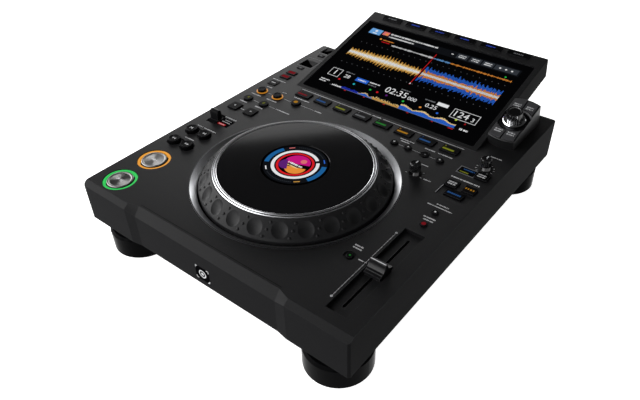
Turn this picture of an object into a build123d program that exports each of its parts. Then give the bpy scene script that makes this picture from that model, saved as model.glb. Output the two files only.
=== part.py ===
from build123d import *
import math
import os

os.makedirs("parts", exist_ok=True)

# Tabletop player for music files: a flat deck with a large jog wheel, a tilted touch
# screen behind it, a long tempo fader on the right and rows of keys.
# Millimetres. X runs to the right, Y to the back, Z up. The origin is on the table,
# under the middle of the whole player. Places on the deck are given as x from its left
# edge and y from its front edge.

# ---- driving dimensions -----------------------------------------------------------------
width = 329.0
depth = 453.0
height = 118.0
deck_height = 79.0
body_depth = 387.0
wall_height = 45.0
base_height = 25.5
sheet = 2.5
screen_tilt = 13.0
gap = 0.5

# Front edge: the middle stretch is set back and has a wider bevel.
side_bevel_run = 5.5
side_bevel_drop = 4.0
middle_setback = 2.0
middle_bevel_run = 9.2
middle_bevel_drop = 8.0
middle_half = 88.0
step_half = 100.0
corner_cut = 2.0
inner_front = 4.7
inner_slope_foot = 10.5
inner_slope_end = 11.2

# Bottom case and feet.
tray_inset = 11.0
lip_inset = 2.8
foot_radius = 32.0
foot_side = 34.8
foot_front = 32.0
foot_rear = 28.5
post_radius = 4.0
board_post_radius = 2.5
floor_post_radius = 3.0
screw_radius = 1.5
screw_head_radius = 3.0
screw_head_height = 2.0
screw_length = 14.0
screw_cross = (3.4, 0.8)
vent_rows = (45.0, 285.0)
vent_count = 12
vent_pitch = 9.0
vent_length = 36.0
vent_width = 3.0

# Jog wheel.
jog_x = 164.5
jog_y = 133.5
bezel_radius = 105.4
bezel_lip = 1.0
bezel_bore = 98.3
bezel_bore_drop = 3.6
bezel_flange = 109.0
jog_radius = 96.3
jog_rim_height = -1.0
jog_shoulder_run = 1.3
jog_shoulder_rise = 2.0
trim_radius = 81.3
jog_top_height = 14.3
trim_height = 15.6
plate_radius = 76.5
plate_height = 15.0
plate_seat_radius = 72.0
dimple_count = 24
dimple_start = 1.2
dimple_ring_radius = 89.3
dimple_width = 15.8
dimple_depth = 2.2
hub_bore_radius = 34.0
hub_wall = 4.0
hub_drop = 24.0
bearing_play = 0.05
spindle_radius = 20.0
display_radius = 33.2
display_thickness = 6.8

# Keys: a cap above the deck, a flange that holds it under the deck, a stem and a switch.
flange_drop = 2.9
flange_thickness = 1.0
flange_lip = 1.0
stem_radius = 2.0
stem_end = 8.5
board_drop = 14.0
board_thickness = 1.6
switch_height = 3.5
switch_size = 6.0

# Tempo fader.
fader_x = 303.2
fader_y = 75.0
fader_recess_width = 20.5
fader_recess_length = 116.0
fader_recess_depth = 3.0
fader_slot_width = 2.4
fader_slot_length = 97.0
cap_width = 16.0
cap_length = 18.5
cap_height = 9.4
cap_lift = 0.6
cap_treads = [(9.25, 1.2), (6.7, 1.8), (6.4, 2.5), (4.4, 3.0)]
cap_flank = (2.7, 5.4)
cap_ridge = 1.8

# Screen housing, measured along its own tilted plane from the hinge line.
screen_width = 245.0
slab_thickness = 26.0
screen_panel = 4.0
glass_width = 232.0
glass_length = 147.0
glass_start = 5.5
glass_thickness = 1.5
lcd_width = 221.0
lcd_length = 136.0
screen_bay_width = 235.0
screen_bay_front = 283.2
screen_bay_rear = 380.0
screen_key_pitch = 35.5
screen_key_width = 28.0
screen_key_length = 8.8
screen_key_place = 165.5
screen_key_rise = 0.9

# Selector pod, right of the screen.
pod_width = 29.5
pod_start = 22.0
pod_end = 91.0
pod_end_bow = 3.0
pod_opening_y = 330.0
pod_opening = (14.0, 20.0)
pod_rise = 6.0
pod_top = 3.0
pod_wall = 1.2
pod_dial = 55.5
pod_dish_radius = 18.0
pod_dish_depth = 1.4
pod_key_rise = 1.0
selector_collar_radius = 12.0
selector_grip_radius = 8.4
selector_height = 12.0
selector_shaft = 3.0

# Start keys in their lit rings.
start_x = 27.3
start_keys = {"play_button": 25.2, "cue_button": 68.4}
start_opening = 17.4
start_ring_radius = 17.0
start_ring_bore = 14.7
start_ring_drop = 0.5
start_cap_radius = 13.2
start_cap_rise = 0.4
start_flange_drop = 4.4
start_flange_lip = 0.4

# Round keys: x, y, radius of the cap, rise above the deck.
round_keys = {
    "search_back": (17.4, 105.0, 6.6, 4.0),
    "search_forward": (36.8, 105.0, 6.6, 4.0),
    "track_back": (17.4, 130.5, 6.6, 4.0),
    "track_forward": (36.8, 130.5, 6.6, 4.0),
    "loop_four": (18.0, 219.5, 5.6, 2.0),
    "loop_eight": (42.5, 219.5, 5.6, 2.0),
    "loop_in": (19.0, 242.5, 5.2, 3.6),
    "loop_out": (43.5, 242.5, 5.2, 3.6),
    "loop_exit": (71.5, 243.5, 5.8, 2.4),
    "call_back": (209.5, 242.5, 4.2, 1.8),
    "call_forward": (226.5, 242.5, 4.2, 1.8),
    "delete_button": (247.5, 242.0, 3.8, 0.6),
    "memory_button": (265.0, 241.5, 4.2, 1.8),
    "tempo_range_button": (303.5, 167.0, 3.4, 1.4),
    "master_tempo_button": (303.5, 146.5, 3.4, 1.4),
    "tempo_reset_button": (274.5, 74.5, 3.3, 0.6),
}
loop_ring_radius = 6.9
key_well_radius = 6.0
dished_pairs = [("search_back", "search_forward"), ("track_back", "track_forward")]
dish_radius = 8.3
dish_depth = 1.2
dish_bridge_rise = 5.6
dish_bridge_width = 3.0

# Rectangular keys: x, y, width, depth, rise.
square_keys = {
    "beat_jump_back": (18.3, 197.0, 13.4, 13.4, 1.6),
    "beat_jump_forward": (42.6, 197.0, 13.4, 13.4, 1.6),
    "jog_mode_button": (312.5, 241.5, 13.6, 11.4, 1.6),
    "sync_button": (294.4, 214.6, 12.8, 11.4, 1.6),
    "master_button": (313.2, 215.0, 12.8, 11.4, 1.6),
    "key_sync_button": (304.0, 201.0, 19.0, 8.4, 0.8),
}
sync_dish = (33.0, 15.0)
sync_dish_depth = 0.9
hot_cue_pitch = 28.2
hot_cue_first = 66.5
hot_cue_y = 265.0
for number in range(8):
    hot_cue_x = hot_cue_first + number * hot_cue_pitch
    square_keys[f"hot_cue_{number + 1}"] = (hot_cue_x, hot_cue_y, 20.0, 11.6, 1.6)

# Small keys of the left column, in one node: x, y, width, depth, rise.
column_keys = [
    (16.5, 266.0, 12.0, 10.4, 0.9),
    (18.0, 286.4, 13.6, 8.0, 1.2),
    (18.0, 299.0, 13.6, 8.0, 1.2),
    (17.5, 316.4, 9.0, 5.2, 0.9),
    (17.5, 359.0, 9.0, 5.2, 0.9),
]

# Knobs: x, y.
knobs = {"vinyl_speed_knob": (256.1, 208.5), "jog_adjust_knob": (308.1, 256.7)}
knob_radius = 5.5
knob_height = 12.5
knob_skirt_radius = 6.9
knob_skirt_height = 4.2
knob_shaft = 3.0

# Direction lever, a rocker on a cross pin.
lever_x = 20.6
lever_y = 164.3
lever_slot_width = 14.4
lever_slot_length = 20.0
lever_drum_radius = 16.0
lever_drum_width = 12.8
lever_axis_drop = 15.6
lever_blade_width = 11.0
lever_blade_thickness = 6.4
lever_blade_height = 12.0
lever_pin_radius = 1.5

# Memory stick ports: x, y, slot width, shell width, shell thickness.
ports = [(18.2, 327.0, 19.0, 13.4, 6.0), (15.6, 371.0, 13.0, 9.6, 4.0)]
port_slot_length = 6.4
port_ramp_length = 11.0
port_ramp_drop = 2.4
port_well_depth = 8.0
port_shell_top = 3.5
port_shell_end = 19.0

# Circuit boards: width and depth. The key board hangs under the deck, at y from the front
# edge; the main board and the power supply stand on the floor, at X and Y of the middle.
key_board = (310.0, 366.0)
key_board_y = 194.0
knob_pot = (11.0, 6.0)
floor_board_lift = 6.0
main_board = (130.0, 140.0)
main_board_place = (-72.0, 62.0)
processor_size = 24.0
supply_board = (92.0, 58.0)
supply_place = (48.0, 112.0)
transformer = (30.0, 26.0, 20.0)
capacitor_radius = 8.0
capacitor_height = 22.0

# Rear sockets, as X of the centre, all at one height, with the width and height of their
# holes in the rear wall.
socket_height = 54.0
hole_play = 0.2
inlet_x = 118.0
inlet_hole = (29.0, 22.0)
inlet_frame = (33.0, 25.0)
inlet_pocket = (24.2, 16.0)
power_button_x = 80.0
power_hole = (14.0, 11.0)
lock_slot_x = 20.0
lock_slot = (7.0, 3.2)
lan_x = -42.0
lan_hole = (17.0, 15.0)
round_jacks = [-72.0, -98.0, -118.0]
jack_hole_radius = 5.4
jack_collar_radius = 5.2

# ---- derived places -----------------------------------------------------------------------
left = -width / 2
front = -depth / 2
rear = front + body_depth
deck_under = deck_height - sheet
wall_bottom = deck_height - wall_height
floor_top = base_height + sheet
tilt = math.radians(screen_tilt)
screen_length = (height - deck_height) / math.sin(tilt)
hinge_line = depth - screen_length * math.cos(tilt) - slab_thickness * math.sin(tilt)
pod_x = screen_width / 2 + pod_width / 2
pod_middle = (pod_start + pod_end) / 2
screen_normal = (0, -math.sin(tilt), math.cos(tilt))
glass_middle = glass_start + glass_length / 2
screw_rows = [(60.0, 20.0), (109.5, 95.0), (109.5, 186.5), (128.0, 315.0)]
posts = [(sign * x, front + y) for x, y in screw_rows for sign in (-1, 1)]
board_posts = [(52, 30), (48, 87), (48, 165), (30, 258), (30, 308)]
board_posts += [(100, 249), (186, 252), (282, 255), (284, 180), (284, 110)]
floor_posts = [(-132, -3), (-12, -3), (-132, 127), (-12, 127), (8, 89), (88, 89), (8, 135), (88, 135)]


def save(piece, name):
    """Label a finished piece and write it."""
    piece.part.label = name
    export_step(piece.part, f"parts/{name}.step")


def deck(x, y, rise=0.0):
    """Plane level with the deck or above it, at x from the left and y from the front."""
    return Plane((left + x, front + y, deck_height + rise))


def screen_plane(u=0.0, rise=0.0, x=0.0):
    """Plane along the tilted screen, u up its slope from the hinge line."""
    base = Plane((0, front + hinge_line, deck_height), x_dir=(1, 0, 0), z_dir=screen_normal)
    return Plane(base.from_local_coords((x, u, rise)), x_dir=(1, 0, 0), z_dir=screen_normal)


def side_point(u, rise):
    """Side-view point (Y, Z) at u up the screen's slope and rise above its plane."""
    point = screen_plane(u, rise).origin
    return (point.Y, point.Z)


def bevel_section(x, face, run, drop):
    """Cutting profile of the front bevel, across the player at x."""
    with BuildSketch(Plane.YZ.offset(x)) as section:
        with BuildLine():
            Polyline(
                (front + run, deck_height),
                (front + run, deck_height + 2),
                (front - 3, deck_height + 2),
                (front - 3, deck_height - drop),
                (front + face, deck_height - drop),
                close=True,
            )
        make_face()
    return section.sketch


def key_places():
    """Places under which a switch stands, as x and y on the deck."""
    places = [(start_x, y) for y in start_keys.values()]
    places += [(key[0], key[1]) for key in round_keys.values()]
    places += [(key[0], key[1]) for key in square_keys.values()]
    places += [(key[0], key[1]) for key in column_keys]
    return [(left + x, front + y) for x, y in places]


# ---- top panel: deck with its four walls -----------------------------------------------------
with BuildPart() as top_panel:
    with BuildSketch(Plane.XY.offset(wall_bottom)) as outline:
        with BuildLine():
            Polyline(
                (left, rear),
                (left, front),
                (-step_half, front),
                (-middle_half, front + middle_setback),
                (middle_half, front + middle_setback),
                (step_half, front),
                (-left, front),
                (-left, rear),
                close=True,
            )
        make_face()
        front_corners = outline.vertices().filter_by(lambda v: abs(v.X) > step_half + 1)
        chamfer(front_corners, corner_cut)
    extrude(amount=wall_height)

    # Bevel along the front edge, wider in the middle.
    side = (0, side_bevel_run, side_bevel_drop)
    middle = (middle_setback, middle_bevel_run, middle_bevel_drop)
    bevel_stations = [
        bevel_section(left - 1, *side),
        bevel_section(-step_half, *side),
        bevel_section(-middle_half, *middle),
        bevel_section(middle_half, *middle),
        bevel_section(step_half, *side),
        bevel_section(-left + 1, *side),
    ]
    loft(bevel_stations, ruled=True, mode=Mode.SUBTRACT)

    # Hollow inside, with a slope that follows the bevel.
    with BuildSketch(Plane.YZ) as hollow:
        with BuildLine():
            Polyline(
                (front + inner_front, wall_bottom - 1),
                (front + inner_front, deck_height - inner_slope_foot),
                (front + inner_slope_end, deck_under),
                (rear - sheet, deck_under),
                (rear - sheet, wall_bottom - 1),
                close=True,
            )
        make_face()
    extrude(amount=width / 2 - sheet, both=True, mode=Mode.SUBTRACT)

    # Screw posts that reach down to the bottom case.
    with BuildSketch(Plane.XY.offset(deck_under)):
        with Locations(*posts):
            Circle(post_radius)
    extrude(amount=floor_top - deck_under)
    with BuildSketch(Plane.XY.offset(floor_top)):
        with Locations(*posts):
            Circle(screw_radius + bearing_play)
    extrude(amount=12, mode=Mode.SUBTRACT)

    # Short posts that hold the key board.
    with BuildSketch(Plane.XY.offset(deck_under)):
        with Locations(*[(left + x, front + y) for x, y in board_posts]):
            Circle(board_post_radius)
    extrude(amount=sheet - board_drop)

    # Ears that carry the pin of the direction lever.
    with BuildSketch(deck(lever_x, lever_y, -sheet)):
        with Locations((-lever_slot_width / 2 - 1.5, 0), (lever_slot_width / 2 + 1.5, 0)):
            Rectangle(2.0, 12.0)
    extrude(amount=sheet - lever_axis_drop - 4)
    with BuildSketch(Plane.YZ.offset(left + lever_x)):
        with Locations((front + lever_y, deck_height - lever_axis_drop)):
            Circle(lever_pin_radius + bearing_play)
    extrude(amount=lever_slot_width, both=True, mode=Mode.SUBTRACT)

    # Wells round the stick ports and the floor of the fader recess hang below the deck.
    for port_x, port_y, port_width, shell_width, shell_thickness in ports:
        with BuildSketch(deck(port_x, port_y + port_ramp_length / 2, -sheet)):
            Rectangle(port_width + 5, port_slot_length + port_ramp_length + 2)
        extrude(amount=sheet - port_well_depth)
    with BuildSketch(deck(fader_x, fader_y, -sheet)):
        Rectangle(fader_recess_width + 5, fader_recess_length + 5)
    extrude(amount=-fader_recess_depth)
    with BuildSketch(deck(fader_x, fader_y)):
        Rectangle(fader_recess_width, fader_recess_length)
    extrude(amount=-fader_recess_depth, mode=Mode.SUBTRACT)
    with BuildSketch(deck(fader_x, fader_y, -fader_recess_depth)):
        SlotOverall(fader_slot_length, fader_slot_width, rotation=90)
    extrude(amount=-sheet - 1, mode=Mode.SUBTRACT)

    # Stick ports: an upright slot with a shallow ramp behind it.
    for port_x, port_y, port_width, shell_width, shell_thickness in ports:
        with BuildSketch(deck(port_x, port_y)):
            Rectangle(port_width, port_slot_length)
        extrude(amount=-port_well_depth - 1, mode=Mode.SUBTRACT)
        ramp_start = front + port_y + port_slot_length / 2
        with BuildSketch(Plane.YZ.offset(left + port_x)):
            with BuildLine():
                Polyline(
                    (ramp_start - 1, deck_height),
                    (ramp_start - 1, deck_height - port_ramp_drop),
                    (ramp_start, deck_height - port_ramp_drop),
                    (ramp_start + port_ramp_length, deck_height),
                    close=True,
                )
            make_face()
        extrude(amount=port_width / 2, both=True, mode=Mode.SUBTRACT)

    # Shallow dishes round the search, track and key sync keys.
    for back_key, forward_key in dished_pairs:
        back_x, pair_y = round_keys[back_key][:2]
        forward_x = round_keys[forward_key][0]
        with BuildSketch(deck(0, pair_y)):
            with Locations((back_x, 0), (forward_x, 0)):
                Circle(dish_radius)
            with Locations(((back_x + forward_x) / 2, dish_bridge_rise)):
                Rectangle(forward_x - back_x, dish_bridge_width)
        extrude(amount=-dish_depth, mode=Mode.SUBTRACT)
    with BuildSketch(deck(*square_keys["key_sync_button"][:2])):
        RectangleRounded(*sync_dish, 1.0)
    extrude(amount=-sync_dish_depth, mode=Mode.SUBTRACT)

    # Openings: jog wheel, keys, rings, knobs, lever, and the bays under screen and pod.
    with BuildSketch(Plane.XY.offset(deck_height)):
        with Locations((left + jog_x, front + jog_y)):
            Circle(bezel_radius + 0.05)
        for x, y, radius, rise in round_keys.values():
            with Locations((left + x, front + y)):
                Circle(radius + gap)
        for x, y, key_width, key_depth, rise in list(square_keys.values()) + column_keys:
            with Locations((left + x, front + y)):
                RectangleRounded(key_width + 2 * gap, key_depth + 2 * gap, 1.0)
        for y in start_keys.values():
            with Locations((left + start_x, front + y)):
                Circle(start_opening)
        for x, y in knobs.values():
            with Locations((left + x, front + y)):
                Circle(knob_shaft + bearing_play)
        with Locations((left + lever_x, front + lever_y)):
            Rectangle(lever_slot_width, lever_slot_length)
        with Locations((0, front + (screen_bay_front + screen_bay_rear) / 2)):
            Rectangle(screen_bay_width, screen_bay_rear - screen_bay_front)
        with Locations((pod_x, front + pod_opening_y)):
            Rectangle(*pod_opening)
    extrude(amount=-sheet, mode=Mode.SUBTRACT)

    # Seats of the loop rings, wells of the delete and reset keys.
    with BuildSketch(Plane.XY.offset(deck_height)):
        for name in ("loop_in", "loop_out"):
            with Locations((left + round_keys[name][0], front + round_keys[name][1])):
                Circle(loop_ring_radius + 0.1)
        for name in ("delete_button", "tempo_reset_button"):
            with Locations((left + round_keys[name][0], front + round_keys[name][1])):
                Circle(key_well_radius)
    extrude(amount=-1.0, mode=Mode.SUBTRACT)

    # Rear openings for the sockets, the power key and a lock.
    with BuildSketch(Plane.XZ.offset(-rear)):
        with Locations((inlet_x, socket_height)):
            Rectangle(*inlet_hole)
        with Locations(*[(x, socket_height) for x in round_jacks]):
            Circle(jack_hole_radius)
        with Locations((lan_x, socket_height)):
            Rectangle(*lan_hole)
        with Locations((power_button_x, socket_height)):
            Rectangle(*power_hole)
        with Locations((lock_slot_x, socket_height)):
            RectangleRounded(*lock_slot, 0.8)
    extrude(amount=sheet + 1, both=True, mode=Mode.SUBTRACT)
save(top_panel, "top_panel")

# ---- bottom case: shallow metal tray, set in from the walls ------------------------------------
with BuildPart() as bottom_case:
    tray_width = width - 2 * tray_inset
    tray_depth = body_depth - 2 * tray_inset
    tray_middle = (front + rear) / 2
    lip_front = front + inner_front + 0.3
    lip_rear = rear - lip_inset
    with BuildSketch(Plane.XY.offset(base_height)):
        with Locations((0, tray_middle)):
            RectangleRounded(tray_width, tray_depth, 6)
    extrude(amount=wall_bottom - base_height + sheet)
    with BuildSketch(Plane.XY.offset(wall_bottom)):
        with Locations((0, (lip_front + lip_rear) / 2)):
            Rectangle(width - 2 * lip_inset, lip_rear - lip_front)
    extrude(amount=sheet)
    with BuildSketch(Plane.XY.offset(floor_top)):
        with Locations((0, tray_middle)):
            RectangleRounded(tray_width - 2 * sheet, tray_depth - 2 * sheet, 4)
    extrude(amount=wall_bottom - base_height + sheet, mode=Mode.SUBTRACT)
    with BuildSketch(Plane.XY.offset(base_height)):
        with Locations(*posts):
            Circle(screw_radius + 0.2)
        with Locations(*[(0, front + y) for y in vent_rows]):
            with GridLocations(vent_pitch, 0, vent_count, 1):
                SlotOverall(vent_length, vent_width, rotation=90)
    extrude(amount=sheet, mode=Mode.SUBTRACT)

    # Threaded posts under the main board and the power supply.
    with BuildSketch(Plane.XY.offset(floor_top)):
        with Locations(*floor_posts):
            Circle(floor_post_radius)
    extrude(amount=floor_board_lift)
save(bottom_case, "bottom_case")

# ---- case screws: pan heads under the tray ---------------------------------------------------------
with BuildPart() as case_screws:
    with BuildSketch(Plane.XY.offset(base_height)):
        with Locations(*posts):
            Circle(screw_radius)
    extrude(amount=screw_length)
    with BuildSketch(Plane.XY.offset(base_height)):
        with Locations(*posts):
            Circle(screw_head_radius)
    extrude(amount=-screw_head_height, taper=10)
    with BuildSketch(Plane.XY.offset(base_height - screw_head_height)):
        with Locations(*posts):
            Rectangle(*screw_cross)
            Rectangle(*reversed(screw_cross))
    extrude(amount=1.2, mode=Mode.SUBTRACT)
save(case_screws, "case_screws")

# ---- feet: four large round feet --------------------------------------------------------------------
foot_rows = (front + foot_front, rear - foot_rear)
foot_places = [(sign * (width / 2 - foot_side), y) for y in foot_rows for sign in (-1, 1)]
with BuildPart() as feet:
    for x, y in foot_places:
        with BuildSketch(Plane.XZ.offset(-y)):
            with BuildLine():
                Polyline(
                    (x, 0),
                    (x + foot_radius - 1.0, 0),
                    (x + foot_radius, 1.0),
                    (x + foot_radius, base_height - 3.4),
                    (x + foot_radius - 2.4, base_height - 0.8),
                    (x + foot_radius - 9, base_height - 0.8),
                    (x + foot_radius - 10, base_height),
                    (x, base_height),
                    close=True,
                )
            make_face()
        revolve(axis=Axis((x, y, 0), (0, 0, 1)))
save(feet, "feet")

# ---- screen housing: a tilted slab that rests on the deck -----------------------------------------
with BuildPart() as screen_housing:
    top_rear = side_point(screen_length, 0)
    low_rear = side_point(screen_length, -slab_thickness)
    slab_foot = low_rear[0] - (low_rear[1] - deck_height) / math.tan(tilt)
    with BuildSketch(Plane.YZ):
        with BuildLine():
            Polyline(
                (front + hinge_line, deck_height),
                top_rear,
                low_rear,
                (slab_foot, deck_height),
                close=True,
            )
        make_face()
    extrude(amount=screen_width / 2, both=True)
    chamfer(screen_housing.edges().filter_by(Axis.X).sort_by(Axis.Z)[-1], 1.2)
    side_faces = screen_housing.faces().filter_by(Axis.X)
    upper_edges = side_faces.edges().filter_by(lambda e: e.center().Z > deck_height + 3)
    chamfer(upper_edges, 0.8)

    # Hollow inside, open to the deck below.
    inner_length = screen_length - sheet
    inner_front_foot = side_point((screen_panel * math.cos(tilt) - 1) / math.sin(tilt), -screen_panel)
    inner_low = side_point(inner_length, sheet - slab_thickness)
    inner_foot = inner_low[0] - (inner_low[1] - deck_height - sheet) / math.tan(tilt)
    with BuildSketch(Plane.YZ):
        with BuildLine():
            Polyline(
                inner_front_foot,
                side_point(inner_length, -screen_panel),
                inner_low,
                (inner_foot, deck_height + sheet),
                (rear - sheet, deck_height + sheet),
                (rear - sheet, deck_height - 1),
                close=True,
            )
        make_face()
    extrude(amount=screen_width / 2 - sheet, both=True, mode=Mode.SUBTRACT)

    # Seat of the glass, window of the display, openings of the keys.
    with BuildSketch(screen_plane(glass_middle)):
        RectangleRounded(glass_width + 0.4, glass_length + 0.4, 2.2)
    extrude(amount=-glass_thickness, mode=Mode.SUBTRACT)
    with BuildSketch(screen_plane(glass_middle)):
        Rectangle(lcd_width + 1, lcd_length + 1)
    extrude(amount=-screen_panel - 2, mode=Mode.SUBTRACT)
    with BuildSketch(screen_plane(screen_key_place)):
        with GridLocations(screen_key_pitch, 0, 6, 1):
            RectangleRounded(screen_key_width + 0.8, screen_key_length + 0.8, 1.2)
    extrude(amount=-screen_panel - 1, mode=Mode.SUBTRACT)
save(screen_housing, "screen_housing")

with BuildPart() as screen_glass:
    with BuildSketch(screen_plane(glass_middle)):
        RectangleRounded(glass_width, glass_length, 2)
    extrude(amount=-glass_thickness)
save(screen_glass, "screen_glass")

# Display module: the picture area lies right under the glass, its frame behind the panel.
with BuildPart() as lcd_panel:
    with BuildSketch(screen_plane(glass_middle, -glass_thickness)):
        Rectangle(lcd_width, lcd_length)
    extrude(amount=glass_thickness - screen_panel)
    with BuildSketch(screen_plane(glass_middle + 2, -screen_panel)):
        Rectangle(lcd_width + 8, lcd_length + 4)
    extrude(amount=-2.5)
save(lcd_panel, "lcd_panel")

with BuildPart() as screen_keys:
    with BuildSketch(screen_plane(screen_key_place, screen_key_rise)):
        with GridLocations(screen_key_pitch, 0, 6, 1):
            RectangleRounded(screen_key_width, screen_key_length, 1.0)
    extrude(amount=-screen_key_rise - screen_panel - 0.4)
    key_tops = screen_keys.faces().group_by(Axis((0, 0, 0), screen_normal))[-1]
    chamfer(key_tops.edges(), 0.4)
    with BuildSketch(screen_plane(screen_key_place - 0.5, -screen_panel - 0.4)):
        with GridLocations(screen_key_pitch, 0, 6, 1):
            Rectangle(screen_key_width + 3, screen_key_length)
    extrude(amount=-1.0)
    with BuildSketch(screen_plane(screen_key_place, -screen_panel - 1.4)):
        with GridLocations(screen_key_pitch, 0, 6, 1):
            Circle(stem_radius)
    extrude(amount=-2.6)
save(screen_keys, "screen_keys")

# ---- selector pod: four keys round a dished dial ---------------------------------------------------
with BuildSketch() as pod_outline:
    half = pod_width / 2
    straight = (pod_end - pod_start) / 2 - pod_end_bow
    with BuildLine():
        Line((-half, -straight), (-half, straight))
        ThreePointArc((-half, straight), (0, straight + pod_end_bow), (half, straight))
        Line((half, straight), (half, -straight))
        ThreePointArc((half, -straight), (0, -straight - pod_end_bow), (-half, -straight))
    make_face()


def pod_key_outline(grow):
    """The four key caps round the selector dish, grown by grow all round."""
    with BuildSketch() as caps:
        add(pod_outline.sketch)
        offset(amount=grow - 1.6)
        with Locations((0, pod_dial - pod_middle)):
            Circle(pod_dish_radius + 1.0 - grow, mode=Mode.SUBTRACT)
        Rectangle(1.8 - 2 * grow, 100, mode=Mode.SUBTRACT)
    return caps.sketch


pod_key_places = [(x, y) for x in (-6.0, 6.0) for y in (-21.0, 19.0)]
pod_face = screen_plane(pod_middle, pod_rise, pod_x)
dial_face = screen_plane(pod_dial, pod_rise, pod_x)
with BuildPart() as selector_pod:
    with BuildSketch(pod_face):
        add(pod_outline.sketch)
    extrude(amount=-45)
    chamfer(selector_pod.faces().sort_by(Axis((0, 0, 0), screen_normal))[-1].edges(), 0.6)
    with BuildSketch(screen_plane(pod_middle, pod_top, pod_x)):
        add(pod_outline.sketch)
        offset(amount=-pod_wall)
    extrude(amount=-45, mode=Mode.SUBTRACT)
    with BuildSketch(Plane.XY.offset(deck_height)):
        with Locations((pod_x, front + hinge_line + 60)):
            Rectangle(60, 200)
    extrude(amount=-60, mode=Mode.SUBTRACT)
    with BuildSketch(dial_face):
        Circle(pod_dish_radius)
    extrude(amount=-pod_dish_depth, taper=40, mode=Mode.SUBTRACT)
    with BuildSketch(dial_face):
        Circle(selector_shaft + bearing_play)
    extrude(amount=-6, mode=Mode.SUBTRACT)
    with BuildSketch(pod_face):
        add(pod_key_outline(0.4))
    extrude(amount=-6, mode=Mode.SUBTRACT)
save(selector_pod, "selector_pod")

with BuildPart() as pod_keys:
    cap_depth = pod_rise + pod_key_rise - pod_top + 0.4
    with BuildSketch(screen_plane(pod_middle, pod_rise + pod_key_rise, pod_x)):
        add(pod_key_outline(0))
    extrude(amount=-cap_depth)
    with BuildSketch(screen_plane(pod_middle, pod_top - 0.4, pod_x)):
        with Locations(*pod_key_places):
            Rectangle(10.4, 7.0)
    extrude(amount=-1.0)
    with BuildSketch(screen_plane(pod_middle, pod_top - 1.4, pod_x)):
        with Locations(*pod_key_places):
            Circle(stem_radius)
    extrude(amount=-1.0)
save(pod_keys, "pod_keys")

with BuildPart() as selector_knob:
    collar_base = pod_rise - pod_dish_depth + 0.4
    with BuildSketch(screen_plane(pod_dial, collar_base, pod_x)):
        Circle(selector_collar_radius)
    extrude(amount=2.4)
    chamfer(selector_knob.faces().sort_by(Axis((0, 0, 0), screen_normal))[-1].edges(), 0.9)
    with BuildSketch(screen_plane(pod_dial, collar_base + 2.4, pod_x)):
        Circle(selector_grip_radius)
        with PolarLocations(selector_grip_radius + 0.35, 20):
            Circle(0.8, mode=Mode.SUBTRACT)
    extrude(amount=pod_rise + selector_height - collar_base - 2.4)
    with BuildSketch(screen_plane(pod_dial, pod_rise + selector_height, pod_x)):
        Circle(selector_grip_radius - 2.0)
    extrude(amount=-0.6, taper=30, mode=Mode.SUBTRACT)
    with BuildSketch(screen_plane(pod_dial, collar_base, pod_x)):
        Circle(selector_shaft)
    extrude(amount=1.9 - collar_base)
save(selector_knob, "selector_knob")

# ---- jog wheel: bezel, bearing, ring, plate, trim and the display in the middle ----------------------
jog_axis = Axis((left + jog_x, front + jog_y, 0), (0, 0, 1))


def jog_profile(points):
    """Closed half section of (radius, height above the deck) points beside the jog axis."""
    with BuildSketch(Plane.XZ.offset(-front - jog_y)) as section:
        with BuildLine():
            Polyline(*[(left + jog_x + r, deck_height + z) for r, z in points], close=True)
        make_face()
    return section.sketch


with BuildPart() as jog_bezel:
    profile = [
        (bezel_bore, -14.0),
        (bezel_bore, -bezel_bore_drop),
        (bezel_radius - bezel_lip, 0.3),
        (bezel_radius, 0.3),
        (bezel_radius, -sheet),
        (bezel_flange, -sheet),
        (bezel_flange, -sheet - 2.0),
        (bezel_bore + 2.5, -sheet - 2.0),
        (bezel_bore + 2.5, -14.0),
    ]
    revolve(jog_profile(profile), axis=jog_axis)
save(jog_bezel, "jog_bezel")

# Grip ring: a cone with a round dimple for each finger place.
with BuildPart() as jog_ring:
    cone_foot = (jog_radius - jog_shoulder_run, jog_rim_height + jog_shoulder_rise)
    cone_top = (trim_radius + 0.9, jog_top_height)
    profile = [
        (jog_radius, -6.0),
        (jog_radius, jog_rim_height),
        cone_foot,
        cone_top,
        (trim_radius + 0.1, jog_top_height + 0.3),
        (trim_radius + 0.1, 10.4),
        (plate_seat_radius, 10.4),
        (plate_seat_radius, 8.0),
        (trim_radius + 0.8, 8.0),
        (jog_radius - 3.0, -2.9),
        (jog_radius - 3.0, -6.0),
    ]
    revolve(jog_profile(profile), axis=jog_axis)
    cone_run = cone_foot[0] - cone_top[0]
    cone_rise = cone_top[1] - cone_foot[1]
    cone_angle = math.atan2(cone_run, cone_rise)
    dimple_ball = (dimple_width**2 / 4 + dimple_depth**2) / (2 * dimple_depth)
    ball_rise = dimple_ball - dimple_depth
    ball_radius = dimple_ring_radius + ball_rise * math.cos(cone_angle)
    dimple_height = cone_foot[1] + (cone_foot[0] - dimple_ring_radius) * cone_rise / cone_run
    ball_height = dimple_height + ball_rise * math.sin(cone_angle)
    with Locations((left + jog_x, front + jog_y, deck_height + ball_height)):
        with PolarLocations(ball_radius, dimple_count, start_angle=dimple_start):
            Sphere(dimple_ball, mode=Mode.SUBTRACT)
save(jog_ring, "jog_ring")

with BuildPart() as jog_trim_ring:
    profile = [
        (plate_radius + 0.1, 10.4),
        (plate_radius + 0.1, trim_height - 0.4),
        (plate_radius + 0.7, trim_height),
        (plate_radius + 1.8, trim_height),
        (plate_radius + 2.4, trim_height - 0.6),
        (plate_radius + 3.0, trim_height - 0.2),
        (plate_radius + 4.0, trim_height - 0.4),
        (trim_radius, trim_height - 1.3),
        (trim_radius, 10.4),
    ]
    revolve(jog_profile(profile), axis=jog_axis)
save(jog_trim_ring, "jog_trim_ring")

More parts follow.
